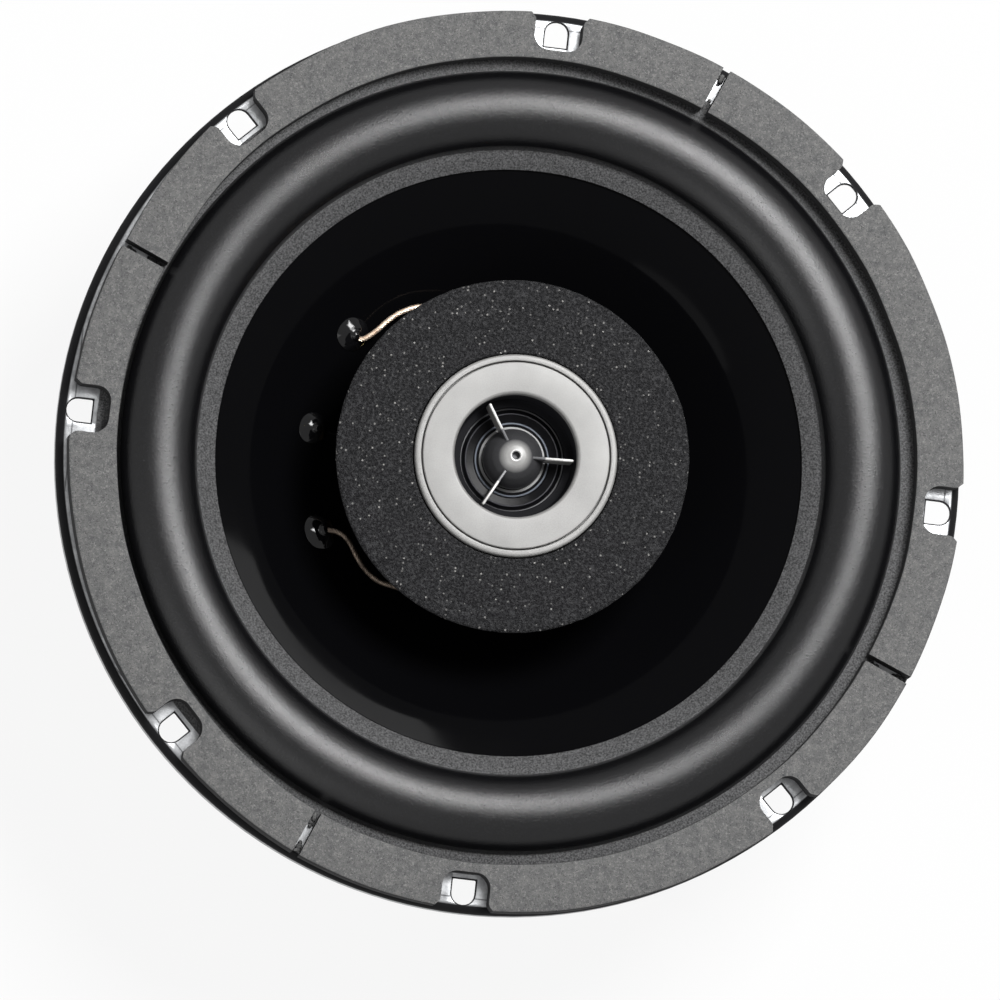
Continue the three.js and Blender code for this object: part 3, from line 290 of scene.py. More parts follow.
def tint(tree, factor, a, b):
    node = put(tree, "Mix", {"Factor": factor}, data_type="RGBA")
    for index, value in ((6, a), (7, b)):
        if isinstance(value, bpy.types.NodeSocket):
            tree.links.new(value, node.inputs[index])
        else:
            node.inputs[index].default_value = (*value, 1)
    return node.outputs[2]


def stripes(tree, way, scale, distortion=0, detail=2):
    return put(tree, "TexWave", {
        "Vector": place(tree), "Scale": scale, "Distortion": distortion, "Detail": detail},
        bands_direction=way).outputs["Fac"]


def feed(tree, socket, value):
    tree.links.new(value, tree.nodes["Principled BSDF"].inputs[socket])


def relief(tree, height, strength, distance):
    bump = put(tree, "Bump", {"Height": height, "Strength": strength, "Distance": distance})
    feed(tree, "Normal", bump.outputs["Normal"])


def paint(tree, colour, roughness=None):
    feed(tree, "Base Color", colour)
    if roughness:
        feed(tree, "Roughness", roughness)


def axisRadius(tree):  # metres from the speaker's axis
    parts = put(tree, "SeparateXYZ", {"Vector": put(tree, "TexCoord").outputs["Object"]}).outputs
    flat = put(tree, "CombineXYZ", {"X": parts["X"], "Y": parts["Y"]}).outputs["Vector"]
    return put(tree, "VectorMath", {0: flat}, operation="LENGTH").outputs["Value"], parts


def facing(tree):  # how far a face looks along the axis
    normal = put(tree, "NewGeometry").outputs["Normal"]
    return put(tree, "SeparateXYZ", {"Vector": normal}).outputs["Z"]


def seenRays(tree):  # 1 where the camera looks, directly, by reflection or through a clear piece
    path = put(tree, "LightPath").outputs
    indirect = maths(tree, "MAXIMUM", path["Is Glossy Ray"], path["Is Transmission Ray"])
    return maths(tree, "MAXIMUM", path["Is Camera Ray"], indirect)


def makeMottled(name, base, roughness, texture, dark, light, bump, specular=0.5):  # one noise for colour and relief
    material, tree = newMaterial(name, base, roughness, 0, specular)
    spots = grain(tree, *texture)
    paint(tree, tint(tree, spots, dark, light))
    relief(tree, spots, *bump)
    return material


# Basket: one pressed sheet, plated, with a turned-down rim

basketSize = {
    "sheet": 1.2,
    "line": [
        (23, 33.6), (50, 33.6, 1.6), (50.8, 41.6, 1.4), (58, 41.6, 2.4), (85.4, 70.8, 6), (88.6, 79.4, 2.2),
        (104.4, 79.4, 1.8), (104.4, 74.5)],
    "window": {"inner": 62, "outer": 83.4, "half": 30, "steps": 10, "corner": 3, "cut": (43.4, 77.6)},
    "hole": {"outer": 103.1, "length": 5.9, "width": 5.4, "corner": 0.3, "round": 2.6, "cut": (77, 82)},
    "tab": {"reach": 66.5, "inner": 53, "width": 22, "corner": 2, "cut": (41, 42.2)},
    "bead": {
        "low": (64.6, 48.6), "high": (79.9, 64.9), "half": 3.8, "rise": 2.6, "fall": 1.3, "band": (55, 86),
        "rings": range(45, 70, 2)},
    # painted shade: dark lines round the screw holes and along the crease, and the rim's bend painted black
    "paintedShade": {
        "edge": (0.22, 0.36), "creaseShade": 101.4, "spread": (0.06, 0.22), "shade": 0.55, "level": (78.5, 78.7),
        "rimShadeFrom": (103, 103.3), "rimShadeLevel": (77.5, 77.9), "roughness": 0.6},
}


def paintedHoleShade(tree, radius, parts):  # painted shade along each screw hole's edge and along the crease beside it
    hole, size = basketSize["hole"], basketSize["paintedShade"]
    angle = maths(tree, "ARCTAN2", parts["Y"], parts["X"])
    turn = maths(tree, "PINGPONG", angle, pi / 8)  # from the nearest hole
    across = maths(tree, "MULTIPLY", radius, maths(tree, "SINE", turn))
    along = maths(tree, "MULTIPLY", radius, maths(tree, "COSINE", turn))
    half = hole["width"] / 2 * mm
    past = maths(tree, "MAXIMUM", maths(tree, "SUBTRACT", along, hole["outer"] * mm - half), 0)
    squared = maths(tree, "ADD", maths(tree, "MULTIPLY", across, across), maths(tree, "MULTIPLY", past, past))
    outside = maths(tree, "SUBTRACT", maths(tree, "SQRT", squared), half)
    inward = maths(tree, "SUBTRACT", (hole["outer"] - hole["length"]) * mm, along)
    gap = maths(tree, "ABSOLUTE", maths(tree, "MAXIMUM", outside, inward))
    # painted shade on the front face along the hole's edge
    edge = rangedMm(tree, gap, size["edge"], 1, 0)
    step = maths(tree, "ABSOLUTE", maths(tree, "SUBTRACT", along, size["creaseShade"] * mm))
    creaseShade = rangedMm(tree, step, size["spread"], size["shade"], 0)
    level = rangedMm(tree, parts["Z"], size["level"])  # on the front face only
    return maths(tree, "MULTIPLY", maths(tree, "MAXIMUM", edge, creaseShade), level)


def makeBasketMetal():
    material, tree = newMaterial("platedSheet", (0.23, 0.23, 0.235), 0.4, 1.0, 0.06)
    broad = grain(tree, 55, 4)
    fine = grain(tree, 1400, 3)
    smears = grain(tree, 240, 5, 0.7, (1, 1, 0.35))
    metal = tint(tree, ranged(tree, smears, 0.35, 0.65), (0.15, 0.153, 0.158), (0.3, 0.304, 0.31))
    radius, parts = axisRadius(tree)
    size = basketSize["paintedShade"]
    # painted shade: the bend of the rim painted black
    rim = maths(tree, "MULTIPLY", rangedMm(tree, radius, size["rimShadeFrom"]), rangedMm(tree, parts["Z"], size["rimShadeLevel"]))
    paintedShade = maths(tree, "MAXIMUM", rim, paintedHoleShade(tree, radius, parts))
    rough = maths(tree, "MULTIPLY", paintedShade, size["roughness"])
    paint(tree, tint(tree, paintedShade, metal, (0.012, 0.012, 0.013)),
          maths(tree, "MAXIMUM", ranged(tree, broad, 0.3, 0.7, 0.32, 0.46), rough))
    feed(tree, "Metallic", ranged(tree, paintedShade, 0, 1, 1, 0))
    relief(tree, fine, 0.12, 0.0001)
    return material


def windowTool(turn):
    size = basketSize["window"]
    half, steps = size["half"], size["steps"]
    outline = []
    for radius, side in ((size["outer"], -1), (size["inner"], 1)):
        arc = [around(radius, side * (half - 2 * half * k / steps))[:2] for k in range(steps + 1)]
        arc[0] = (*arc[0], size["corner"])
        arc[-1] = (*arc[-1], size["corner"])
        outline += arc
    return turned(slab("windowTool", outline, *size["cut"]), turn)


def holeTool(turn):
    size = basketSize["hole"]
    end, half = size["outer"], size["width"] / 2
    start, corner, rounded = end - size["length"], size["corner"], size["round"]
    outline = [(start, -half, corner), (end, -half, rounded), (end, half, rounded), (start, half, corner)]
    return turned(slab("holeTool", outline, *size["cut"]), turn)


def pressBeads(piece):  # a bead down each leg
    size = basketSize["bead"]
    low, high = Vector(size["low"]), Vector(size["high"])
    run = high - low
    outward = Vector((run.y, -run.x)).normalized()
    inner, outer = size["band"]
    for vertex in piece.data.vertices:
        place = vertex.co / mm
        radius = hypot(place.x, place.y)
        turn = (degrees(Vector(place[:2]).angle_signed(Vector((1, 1)))) % 90 + 45) % 90 - 45
        across = radius * radians(turn)
        along = (Vector((radius, place.z)) - low).dot(run) / run.length_squared
        past = max(-along, along - 1, 0) * run.length
        reach = hypot(across, past) / size["half"]
        if reach >= 1 or not inner < radius < outer:
            continue
        lift = size["rise"] * (0.5 + 0.5 * cos(pi * reach ** size["fall"]))
        vertex.co.xy += Vector(place[:2]).normalized() * outward.x * lift * mm
        vertex.co.z += outward.y * lift * mm


def makeBasket():
    size = basketSize
    basket = spin("basketPressing", size["line"], 160, closed=False, step=15)
    pick(basket)
    editMode("EDGE")  # rings across the legs, so that the beads are round
    for level in size["bead"]["rings"]:
        selectAll()
        bpy.ops.mesh.bisect(plane_co=(0, 0, level * mm), plane_no=(0, 0, 1))
    deselect()
    pressBeads(basket)
    thicken(basket, size["sheet"])
    size = size["tab"]
    reach, inner, half, corner = size["reach"], size["inner"], size["width"] / 2, size["corner"]
    outline = [(-reach, -half, corner), (-inner, -half), (-inner, half), (-reach, half, corner)]
    tab = slab("tab", outline, *size["cut"])
    carve(basket, tab, "UNION")
    for index in range(4):
        carve(basket, windowTool(index * 90))
    for index in range(8):
        carve(basket, holeTool(index * 45))
    soften(basket, 0.3, 2, 50)
    dressPiece(basket, "basket_metal", basketMetal, "basket", angle=28)


basketMetal = makeBasketMetal()
makeBasket()
print("basket pressed")


# Gasket: four arcs of cork rubber, cut by hand and glued on a little unevenly

def makeCorkRubber():
    material, tree = newMaterial("corkRubber", (0.13, 0.13, 0.13), 0.92, 0, 0.25)
    clouds = grain(tree, 420, 5, 0.7)
    grains = grain(tree, 1900, 4, 0.75)
    flecks = grain(tree, 3600, 2, 0.7)
    body = tint(tree, ranged(tree, clouds, 0.3, 0.7), (0.105, 0.107, 0.109), (0.19, 0.188, 0.185))
    flecked = tint(tree, ranged(tree, grains, 0.52, 0.7), body, (0.3, 0.296, 0.288))
    speckled = tint(tree, ranged(tree, flecks, 0.45, 0.3, 0, 0.9), flecked, (0.04, 0.04, 0.042))
    # painted shade: the side walls painted near black
    paintedWallShade = ranged(tree, facing(tree), 0.35, 0.75)
    paint(tree, tint(tree, paintedWallShade, (0.02, 0.02, 0.021), speckled))
    relief(tree, maths(tree, "ADD", grains, flecks), 0.5, 0.0002)
    return material


gasketSize = {
    "inner": 93.6, "outer": 104.6, "low": 80, "high": 86, "edge": 0.45,
    "rebateRadius": 96.3, "rebateHigh": 80.8,
    "jointGap": 1.7, "jointStart": 67.5,
    "shifts": [
        (-0.6, -0.3, -0.3, -0.8, -2.4),
        (-2.2, -2.3, -2.2, -1.6, -0.6),
        (-0.5, 0, 0.1, 0.1, 0.1),
        (0.1, 0.3, 0.3, 0, -0.6)],
    "wobble": 0.25, "wobbleScale": 60,
    "notch": {"width": 11.2, "depth": 8.8, "flare": 1.6, "corner": 4.6, "mouth": 0.2, "clear": 4, "over": 2},
    "crumbs": [(94.3, 0.75), (95.1, 0.6), (96, 0.55), (96.9, 0.45), (101.4, 0.45), (102.2, 0.6), (103, 0.7)],
    "crumbStep": 0.4, "crumbLump": 0.7, "lumpScale": 900,
}


def notchTool(turn):
    size = gasketSize
    notch, outer = size["notch"], size["outer"]
    inner, half, flare, corner = outer - notch["depth"], notch["width"] / 2, notch["flare"], notch["corner"]
    mouth, clear, over = outer + notch["mouth"], outer + notch["clear"], notch["over"]
    outline = [
        (inner, -half, corner), (outer - flare, -half, flare), (mouth, -half - flare), (clear, -half - flare),
        (clear, half + flare), (mouth, half + flare), (outer - flare, half, flare), (inner, half, corner)]
    return turned(slab("notchTool", outline, size["low"] - over, size["high"] + over, 12), turn)


def jointCrumbs(index):  # torn crumbs and glue left in the joint
    size = gasketSize
    crumbs = []
    for count, (reach, width) in enumerate(size["crumbs"]):
        height = size["low"] + width * 0.5 + count % 2 * size["crumbStep"]
        spot = around(reach, size["jointStart"] + index * 90, height) * mm
        deselect()
        bpy.ops.mesh.primitive_ico_sphere_add(subdivisions=3, radius=width * mm, location=spot)
        crumb = bpy.context.object
        settle(crumb)
        for vertex in crumb.data.vertices:
            lump = noise.noise(vertex.co * size["lumpScale"] + Vector((index * 5, count, 0)))
            vertex.co = spot + (vertex.co - spot) * (1 + lump * size["crumbLump"])
        crumbs.append(crumb)
    return crumbs


def makeGasketArc(index):
    size = gasketSize
    gap = degrees(size["jointGap"] / 2 / size["inner"])
    start = size["jointStart"] + index * 90 + gap
    sweep = 90 - 2 * gap
    inner, outer, low, high, edge = (size[key] for key in ("inner", "outer", "low", "high", "edge"))
    outline = [
        (size["rebateRadius"], low), (outer, low, 0.2), (outer, high, edge), (inner, high, edge),
        (inner, size["rebateHigh"], 0.2), (size["rebateRadius"], size["rebateHigh"])]
    arc = spin(f"gasketArc{index + 1}", outline, 60, start=start, sweep=sweep, step=30)
    pick(arc)
    editMode("EDGE")
    bpy.ops.mesh.select_all(action="DESELECT")
    bpy.ops.mesh.select_non_manifold()
    bpy.ops.mesh.fill_holes(sides=0)  # both ends
    closeUp()
    for turn in range(0, 360, 45):
        if start < turn < start + sweep or start < turn + 360 < start + sweep:
            carve(arc, notchTool(turn))
    arc = merged([arc, *jointCrumbs(index)], arc.name)
    shifts = size["shifts"][index]
    for vertex in arc.data.vertices:
        place = Vector(vertex.co[:2])
        turn = degrees(around(1, start + sweep / 2).xy.angle_signed(place))  # clockwise from the arc's middle
        share = min(max(0.5 - turn / sweep, 0), 1) * 4
        step = min(int(share), 3)
        shift = shifts[step] + (shifts[step + 1] - shifts[step]) * (share - step)
        wobble = noise.noise(vertex.co * size["wobbleScale"] + Vector((index * 7, 0, 0))) * size["wobble"]
        vertex.co.xy += place.normalized() * (shift + wobble) * mm
    dressPiece(arc, "cork_rubber", corkRubber, f"gasket_{index + 1}", angle=40)


corkRubber = makeCorkRubber()
for index in range(4):
    makeGasketArc(index)
print("gasket glued on")


# Surround: a half roll of rubber between two flat lips

surroundSize = {
    "thickness": 0.8, "middle": 80.4, "lipInner": 68.3, "rollInner": 72.9, "rollOuter": 90.5, "rollHeight": 6.5,
    "lipOuter": 96, "steps": 28, "slopeEnd": 68, "slopeDrop": 2.2,
    "innerLipPaint": (72.4, 73.2), "outerLipPaint": (90.2, 91),
}


def makeSurroundRubber():
    material, tree = newMaterial("surroundRubber", (0.01, 0.01, 0.011), 0.22, 0, 0.28)
    radius, _ = axisRadius(tree)
    innerLip = rangedMm(tree, radius, surroundSize["innerLipPaint"], 1, 0)
    outerLip = rangedMm(tree, radius, surroundSize["outerLipPaint"])
    lips = maths(tree, "ADD", innerLip, outerLip)
    speckle = grain(tree, 2600, 3, 0.7)
    crumbs = ranged(tree, grain(tree, 2300, 3, 0.7), 0.38, 0.64)
    lipColour = tint(tree, crumbs, (0.022, 0.022, 0.023), (0.14, 0.14, 0.143))
    rollColour = tint(tree, ranged(tree, speckle, 0.35, 0.7), (0.003, 0.003, 0.0035), (0.009, 0.009, 0.01))
    roughness = ranged(tree, lips, 0, 1, 0.22, 0.66)
    paint(tree, tint(tree, lips, rollColour, lipColour), roughness)
    relief(tree, speckle, 0.6, 0.00014)
    return material


def lipDrop(radius):  # the glued lip slopes with the cone's edge
    start, end = surroundSize["rollInner"], surroundSize["slopeEnd"]
    return surroundSize["slopeDrop"] * min(max((start - radius) / (start - end), 0), 1)


def linkMotion(piece, weightAt):  # 0 stays with the chassis, 1 goes with the cone
    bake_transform(piece, "chassis", "cone_assembly", start=(0, 0, 0), end=(0, 0, 1))
    weights = piece.data.attributes["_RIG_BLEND"].data
    for vertex, weight in zip(piece.data.vertices, weights):
        share = min(max(weightAt(vertex.co / mm), 0), 1)
        weight.value = share * share * (3 - 2 * share)


def makeSurround():
    size = surroundSize
    inner, outer, middle = size["rollInner"], size["rollOuter"], size["middle"]
    centre, half = (inner + outer) / 2, (outer - inner) / 2
    turns = [pi - pi * step / size["steps"] for step in range(1, size["steps"])]
    roll = [(centre + half * cos(turn), middle + size["rollHeight"] * sin(turn)) for turn in turns]
    line = [(size["lipInner"], middle - lipDrop(size["lipInner"])), (inner, middle, 0.5), *roll, (outer, middle, 0.5),
            (size["lipOuter"], middle)]
    surround = spin("surroundRoll", line, 144, closed=False, step=30)
    thicken(surround, size["thickness"])
    soften(surround, 0.15, 2, 60)
    dressPiece(surround, "surround_rubber", surroundRubber, "surround", body=None, angle=60)
    linkMotion(surround, lambda place: (outer - hypot(place.x, place.y)) / (outer - inner))


surroundRubber = makeSurroundRubber()
makeSurround()
print("surround rolled")


# Cone with its eyelets' glue

def makeConeFilm():
    material, tree = newMaterial("coneFilm", (0.0025, 0.0025, 0.003), 0.08, 0, 0.022)
    waves = grain(tree, 38, 2, 0.4)
    dust = grain(tree, 5200, 2, 0.6)
    film = tint(tree, ranged(tree, dust, 0.74, 0.8), (0.0025, 0.0025, 0.003), (0.03, 0.03, 0.03))
    paint(tree, film, ranged(tree, waves, 0.3, 0.7, 0.05, 0.12))
    relief(tree, waves, 0.06, 0.001)
    return material


coneSize = {
    "neck": 19.9, "edge": 68, "rim": 72.4, "low": 50, "depth": 29.6, "curl": 0.8, "edgeCurl": 6, "thickness": 0.8,
    "neckLow": 47.4, "shares": [0.02, 0.05, 0.1, 0.17, 0.26, 0.36, 0.48, 0.6, 0.72, 0.84, 0.93],
}


def coneHeight(radius):
    size = coneSize
    share = (radius - size["neck"]) / (size["edge"] - size["neck"])
    return size["low"] + size["depth"] * share ** size["curl"] - lipDrop(size["edge"]) * share ** size["edgeCurl"]


def coneTilt(radius, step=0.1):
    return (coneHeight(radius + step) - coneHeight(radius - step)) / (2 * step)


def makeCone():
    size = coneSize
    run = size["edge"] - size["neck"]
    wall = [(size["neck"] + run * share, coneHeight(size["neck"] + run * share)) for share in size["shares"]]
    top = size["low"] + size["depth"]
    line = [(size["neck"], size["neckLow"]), (size["neck"], size["low"], 0.4), *wall,
            (size["edge"], top - lipDrop(size["edge"]), 0.8), (size["rim"], top - lipDrop(size["rim"]))]
    cone = spin("coneShell", line, 144, closed=False, step=30)
    thicken(cone, size["thickness"])
    dressPiece(cone, "cone_film", coneFilm, "cone", body="cone_assembly", angle=50)


dotSize = {
    "radius": 46, "angles": [145.5, 175.4, 206.1], "spread": [4.1, 3.8, 4.3], "out": [0.9, -0.3, -0.2],
    "ripple": 0.1, "rippleScale": 260,
    "outline": [(1, 0.4), (0.97, 0.62, 0.3), (0.86, 0.95), (0.68, 1.45), (0.46, 1.95), (0.3, 2.12), (0.24, 2.5, 0.3),
                (0.12, 2.85, 0.2), (0, 2.9)],
}


def makeGlueDot(index):
    size = dotSize
    spread, angle, reach = size["spread"][index], size["angles"][index], size["radius"] + size["out"][index]
    outline = [(0, 0.4)] + [(share * spread, z, *rest) for share, z, *rest in size["outline"]]
    dot = spin(f"glueDot{index + 1}", outline, 40, closed=False)
    for vertex in dot.data.vertices:
        lift = noise.noise(vertex.co * size["rippleScale"] + Vector((index * 11, 3, 0))) * size["ripple"]
        vertex.co.xy *= 1 + lift
    dot.data.transform(Matrix.Rotation(-atan(coneTilt(size["radius"])), 4, "Y"))
    turned(dot, angle, around(reach, angle, coneHeight(reach)))
    addModifier(dot, "SUBSURF", levels=1, render_levels=1)
    dressPiece(dot, "glue", glossGlue, f"glue_dot_{index + 1}", body="cone_assembly", angle=80)


coneFilm = makeConeFilm()
glossGlue = makeMottled(
    "glossGlue", (0.004, 0.004, 0.005), 0.06, (260, 2, 0.5), (0.003, 0.003, 0.0035), (0.007, 0.007, 0.008),
    (0.25, 0.0006), 0.22)
makeCone()
for index in range(3):
    makeGlueDot(index)
print("cone and glue done")


# Leads of braided copper

def makeBraidCopper(name, dark, light):
    material, tree = newMaterial(name, light, 0.42, 0.75)
    tarnish = grain(tree, 700, 3, 0.6)
    paint(tree, tint(tree, ranged(tree, tarnish, 0.35, 0.65), dark, light))
    relief(tree, grain(tree, 5000, 2), 0.3, 0.0001)
    return material


def curved(points, spacing):  # a smooth line through the points, evenly stepped
    spots = [Vector(point) for point in points]
    spots = [spots[0] * 2 - spots[1], *spots, spots[-1] * 2 - spots[-2]]
    line = []
    for a, b, c, d in zip(spots, spots[1:], spots[2:], spots[3:]):
        steps = max(2, ceil((c - b).length / spacing))
        for k in range(steps):
            t = k / steps
            line.append(0.5 * (2 * b + (c - a) * t + (2 * a - 5 * b + 4 * c - d) * t * t
                               + (3 * b - a - 3 * c + d) * t * t * t))
    return [*line, spots[-2]]


def tube(name, line, diameter, sides):  # a round wire along a line of points
    curve = bpy.data.curves.new(name, "CURVE")
    curve.dimensions = "3D"
    curve.bevel_depth = diameter / 2 * mm
    curve.bevel_resolution = sides
    curve.use_fill_caps = True
    spline = curve.splines.new("POLY")
    spline.points.add(len(line) - 1)
    for point, spot in zip(spline.points, line):
        point.co = (*(Vector(spot) * mm), 1)
    wire = bpy.data.objects.new(name, curve)
    bpy.context.collection.objects.link(wire)
    pick(wire)
    bpy.ops.object.convert(target="MESH")
    editMode()
    bpy.ops.mesh.remove_doubles(threshold=1e-6)  # the end caps
    deselect()
    return wire


def twisted(name, points, spacing):  # strands laid round each other
    size = braidSize
    line = curved(points, spacing)
    strandDiameter = size["diameter"] * size["strandShare"]
    offset = (size["diameter"] - strandDiameter) / 2
    side = Vector((0, 0, 1))
    length = 0
    rows = [[] for _ in range(size["strands"])]
    for k, spot in enumerate(line):
        ahead = (line[min(k + 1, len(line) - 1)] - line[max(k - 1, 0)]).normalized()
        side = (side - ahead * side.dot(ahead)).normalized()
        other = ahead.cross(side)
        if k:
            length += (spot - line[k - 1]).length
        for strand, row in enumerate(rows):
            turn = tau * (length / size["pitch"] + strand / size["strands"])
            row.append(spot + (side * cos(turn) + other * sin(turn)) * offset)
    return merged([tube(f"{name}Strand", row, strandDiameter, 1) for row in rows], name)


braidSize = {
    "diameter": 1.3, "strands": 6, "strandShare": 0.42, "pitch": 5, "frontStep": 0.5, "rearStep": 0.8, "hold": 1.15,
    "front": [  # radius, angle, height: out of the glue, round under the foam, to the housing
        [(45.4, 145.6, 69.6), (44.1, 144.6, 70.1), (43.3, 140.4, 70.6), (43.3, 135.6, 71), (43, 130.3, 71.1),
         (41.6, 123.8, 71.2), (37.5, 114, 71), (31, 102, 70.7), (25, 91, 70.3), (21.5, 83, 70), (19.5, 77, 70)],
        [(44.4, 206.2, 69.5), (42.6, 207.6, 70), (41.2, 209.8, 70.4), (40.6, 213.4, 70.8), (40.8, 218.5, 71),
         (40.8, 224, 71), (39.6, 230.5, 71), (35, 243, 70.8), (28, 257, 70.4), (22.5, 270, 70), (19.5, 282, 70)]],
    "rearFrom": (46.75, 66.3), "rearTo": (70, 42),  # radius at the eyelet and distance at the blade, with heights
    "rear": [(0, 0, 0), (0.065, 0.03, 0.115), (0.25, 0.2, 0.29), (0.53, 0.53, 0.475), (0.79, 0.8, 0.66),
             (0.945, 0.955, 0.84), (1, 1, 1)],
    "terminals": [(8, 173.48), (0, 180), (-8, 186.52)],  # across, angle
}


def between(a, b, share):
    return a + (b - a) * share


def alongShare(place, line):  # how far along the line the nearest point lies
    nearest = min(range(len(line)), key=lambda k: (line[k] - place).length_squared)
    return nearest / (len(line) - 1)


def makeBraid(name, node, points, spacing, material):  # its last stretch holds still
    braid = twisted(name, points, spacing)
    dressPiece(braid, "copper", material, node, body=None, angle=60)
    line = curved(points, 1)
    linkMotion(braid, lambda place: 1 - alongShare(place, line) * braidSize["hold"])


def rearRoute(index):
    size = braidSize
    across, bladeAngle = size["terminals"][index]
    eyelet, high = size["rearFrom"]
    blade, low = size["rearTo"]
    return [around(between(eyelet, hypot(blade, across), a), between(dotSize["angles"][index], bladeAngle, b),
                   between(high, low, c)) for a, b, c in size["rear"]]


paleCopper = makeBraidCopper("paleBraid", (0.62, 0.45, 0.33), (0.9, 0.76, 0.62))
# painted shade: the same braid as paleBraid, darker as if it lay in shadow
shadedBraidCopper = makeBraidCopper("shadedBraid", (0.05, 0.037, 0.029), (0.15, 0.118, 0.092))
for index, material in enumerate((paleCopper, shadedBraidCopper)):
    route = [around(*row) for row in braidSize["front"][index]]
    makeBraid(f"frontBraid{index + 1}", f"front_braid_{index + 1}", route, braidSize["frontStep"], material)
for index in range(3):
    makeBraid(f"rearBraid{index + 1}", f"rear_braid_{index + 1}", rearRoute(index), braidSize["rearStep"], paleCopper)
print("leads laid")


# Foam ring round the tweeter

def makeFoam():
    material, tree = newMaterial("openFoam", (0.035, 0.035, 0.037), 1.0, 0, 0.15)
    cells = put(tree, "TexVoronoi", {"Vector": place(tree), "Scale": 2600}).outputs
    # painted shade in the pores: darker at each cell's centre
    paintedPoreShade = ranged(tree, cells["Distance"], 0.15, 0.75)
    mottle = grain(tree, 1500, 4, 0.75)
    body = tint(tree, paintedPoreShade, (0.003, 0.003, 0.0035), (0.027, 0.027, 0.029))
    body = tint(tree, ranged(tree, mottle, 0.48, 0.62, 0, 0.8), body, (0.075, 0.075, 0.078))
    specks = put(tree, "TexVoronoi", {"Vector": place(tree), "Scale": 1000}).outputs
    chosen = put(tree, "SeparateColor", {"Color": specks["Color"]}).outputs
    small = ranged(tree, specks["Distance"], 0.1, 0.3, 1, 0)
    # painted glints: bright specks on a few of the cells
    paintedGlints = maths(tree, "MULTIPLY", small, ranged(tree, chosen["Red"], 0.72, 1.0, 0, 1))
    body = tint(tree, paintedGlints, body, (0.5, 0.49, 0.47))
    paint(tree, body)
    relief(tree, maths(tree, "ADD", cells["Distance"], mottle), 0.9, 0.0004)
    return material


foamSize = {
    "inner": 23.7, "outer": 41, "low": 76.5, "high": 92.7, "edge": 0.8, "columns": 10, "rowStep": 2.7,
    "taper": 2.2, "lean": 0.6, "crown": 0.5, "crownFrom": 90, "boreKept": 1,
    "dents": [(700, 0.1), (60, 0.12)], "inset": 0.1,  # scale and depth of the dents
}


def makeFoamRing():
    size = foamSize
    inner, outer, low, high, edge = (size[key] for key in ("inner", "outer", "low", "high", "edge"))
    columns = [inner + (outer - inner) * k / size["columns"] for k in range(1, size["columns"])]
    rows = [k * size["rowStep"] for k in range(1, 6)]
    outline = [(inner, low), *[(r, low) for r in columns], (outer, low, edge), *[(outer, low + row) for row in rows],
               (outer, high, edge), *[(r, high) for r in reversed(columns)], (inner, high, 0.5),
               *[(inner, high - row) for row in rows]]
    ring = spin("foamRing", outline, 160)
    for vertex in ring.data.vertices:
        radius = hypot(vertex.co.x, vertex.co.y) / mm
        share = (radius - inner) / (outer - inner)
        dent = sum(noise.noise(vertex.co * scale) * depth for scale, depth in size["dents"]) - size["inset"]
        if radius > inner + size["boreKept"]:
            drawn = size["taper"] * (high * mm - vertex.co.z) / ((high - low) * mm)  # cut a little conical
            vertex.co.xy += vertex.co.xy.normalized() * (dent - drawn * share) * mm
            vertex.co.xy -= right.xy * size["lean"] * share * mm
        if vertex.co.z > size["crownFrom"] * mm:
            vertex.co.z += (dent - size["crown"] * share ** 3) * mm
    dressPiece(ring, "foam", openFoam, "foam_ring", angle=60)


openFoam = makeFoam()
makeFoamRing()
print("foam fitted")


# Tweeter: silver housing and ring, black throat, bullet on fins, stepped diaphragm

def makeSatinSilver():
    material, tree = newMaterial("satinSilver", (0.42, 0.415, 0.405), 0.5, 0.12)
    grit = grain(tree, 3200, 3, 0.7)
    mottle = maths(tree, "ADD", grain(tree, 90, 3), grit)
    paint(tree, tint(tree, ranged(tree, mottle, 0.75, 1.25), (0.225, 0.222, 0.217), (0.305, 0.301, 0.294)),
          ranged(tree, grit, 0.3, 0.7, 0.45, 0.58))
    relief(tree, grit, 0.16, 0.00008)
    return material


def makeBulletSatin():  # painted highlight on the nose and fins, painted darker flanks, painted shade round the nose's hole
    material, tree = newMaterial("bulletSatin", (0.3, 0.3, 0.3), 0.45, 0.3)
    radius, parts = axisRadius(tree)
    # painted highlight on the nose and the fins
    noseHighlight = rangedMm(tree, parts["Z"], tweeterSize["noseHighlightLevels"])
    fins = rangedMm(tree, radius, tweeterSize["finHighlightRadii"])
    # painted shade round and inside the nose's hole
    hole = rangedMm(tree, radius, tweeterSize["holeShadeRadii"])
    paintedHighlight = maths(tree, "MAXIMUM", noseHighlight, fins)
    # painted shade: the flanks darker than the nose and fins of the same satin metal
    paintedFlankShade = tint(tree, grain(tree, 2400, 3, 0.6), (0.045, 0.045, 0.048), (0.085, 0.085, 0.09))
    silver = tint(tree, grain(tree, 1800, 3, 0.6), (0.3, 0.297, 0.291), (0.4, 0.396, 0.387))
    paint(tree, tint(tree, maths(tree, "MULTIPLY", paintedHighlight, hole), paintedFlankShade, silver))
    relief(tree, grain(tree, 3200, 3, 0.7), 0.12, 0.00006)
    return material


def makeMouldedBlack(name, colour, roughness):
    dark, light = ([part * share for part in colour] for share in (0.7, 1.4))
    return makeMottled(name, colour, roughness, (2600, 3, 0.6), dark, light, (0.2, 0.0001), 0.025)


def makeGlossFilm():
    material, tree = newMaterial("glossFilm", (0.006, 0.006, 0.007), 0.12, 0, 0.03)
    waves = grain(tree, 420, 2, 0.4)
    colour = tint(tree, waves, (0.004, 0.004, 0.005), (0.01, 0.01, 0.011))
    radius, _ = axisRadius(tree)
    # painted highlights: thin light rings at the steps' crests
    for ring, half, shade in tweeterSize["paintedRingHighlights"]:
        apart = maths(tree, "ABSOLUTE", maths(tree, "SUBTRACT", radius, ring * mm))
        colour = tint(tree, rangedMm(tree, apart, (half, half * 1.6), 1, 0), colour, shade)
    paint(tree, colour)
    relief(tree, waves, 0.05, 0.0003)
    return material


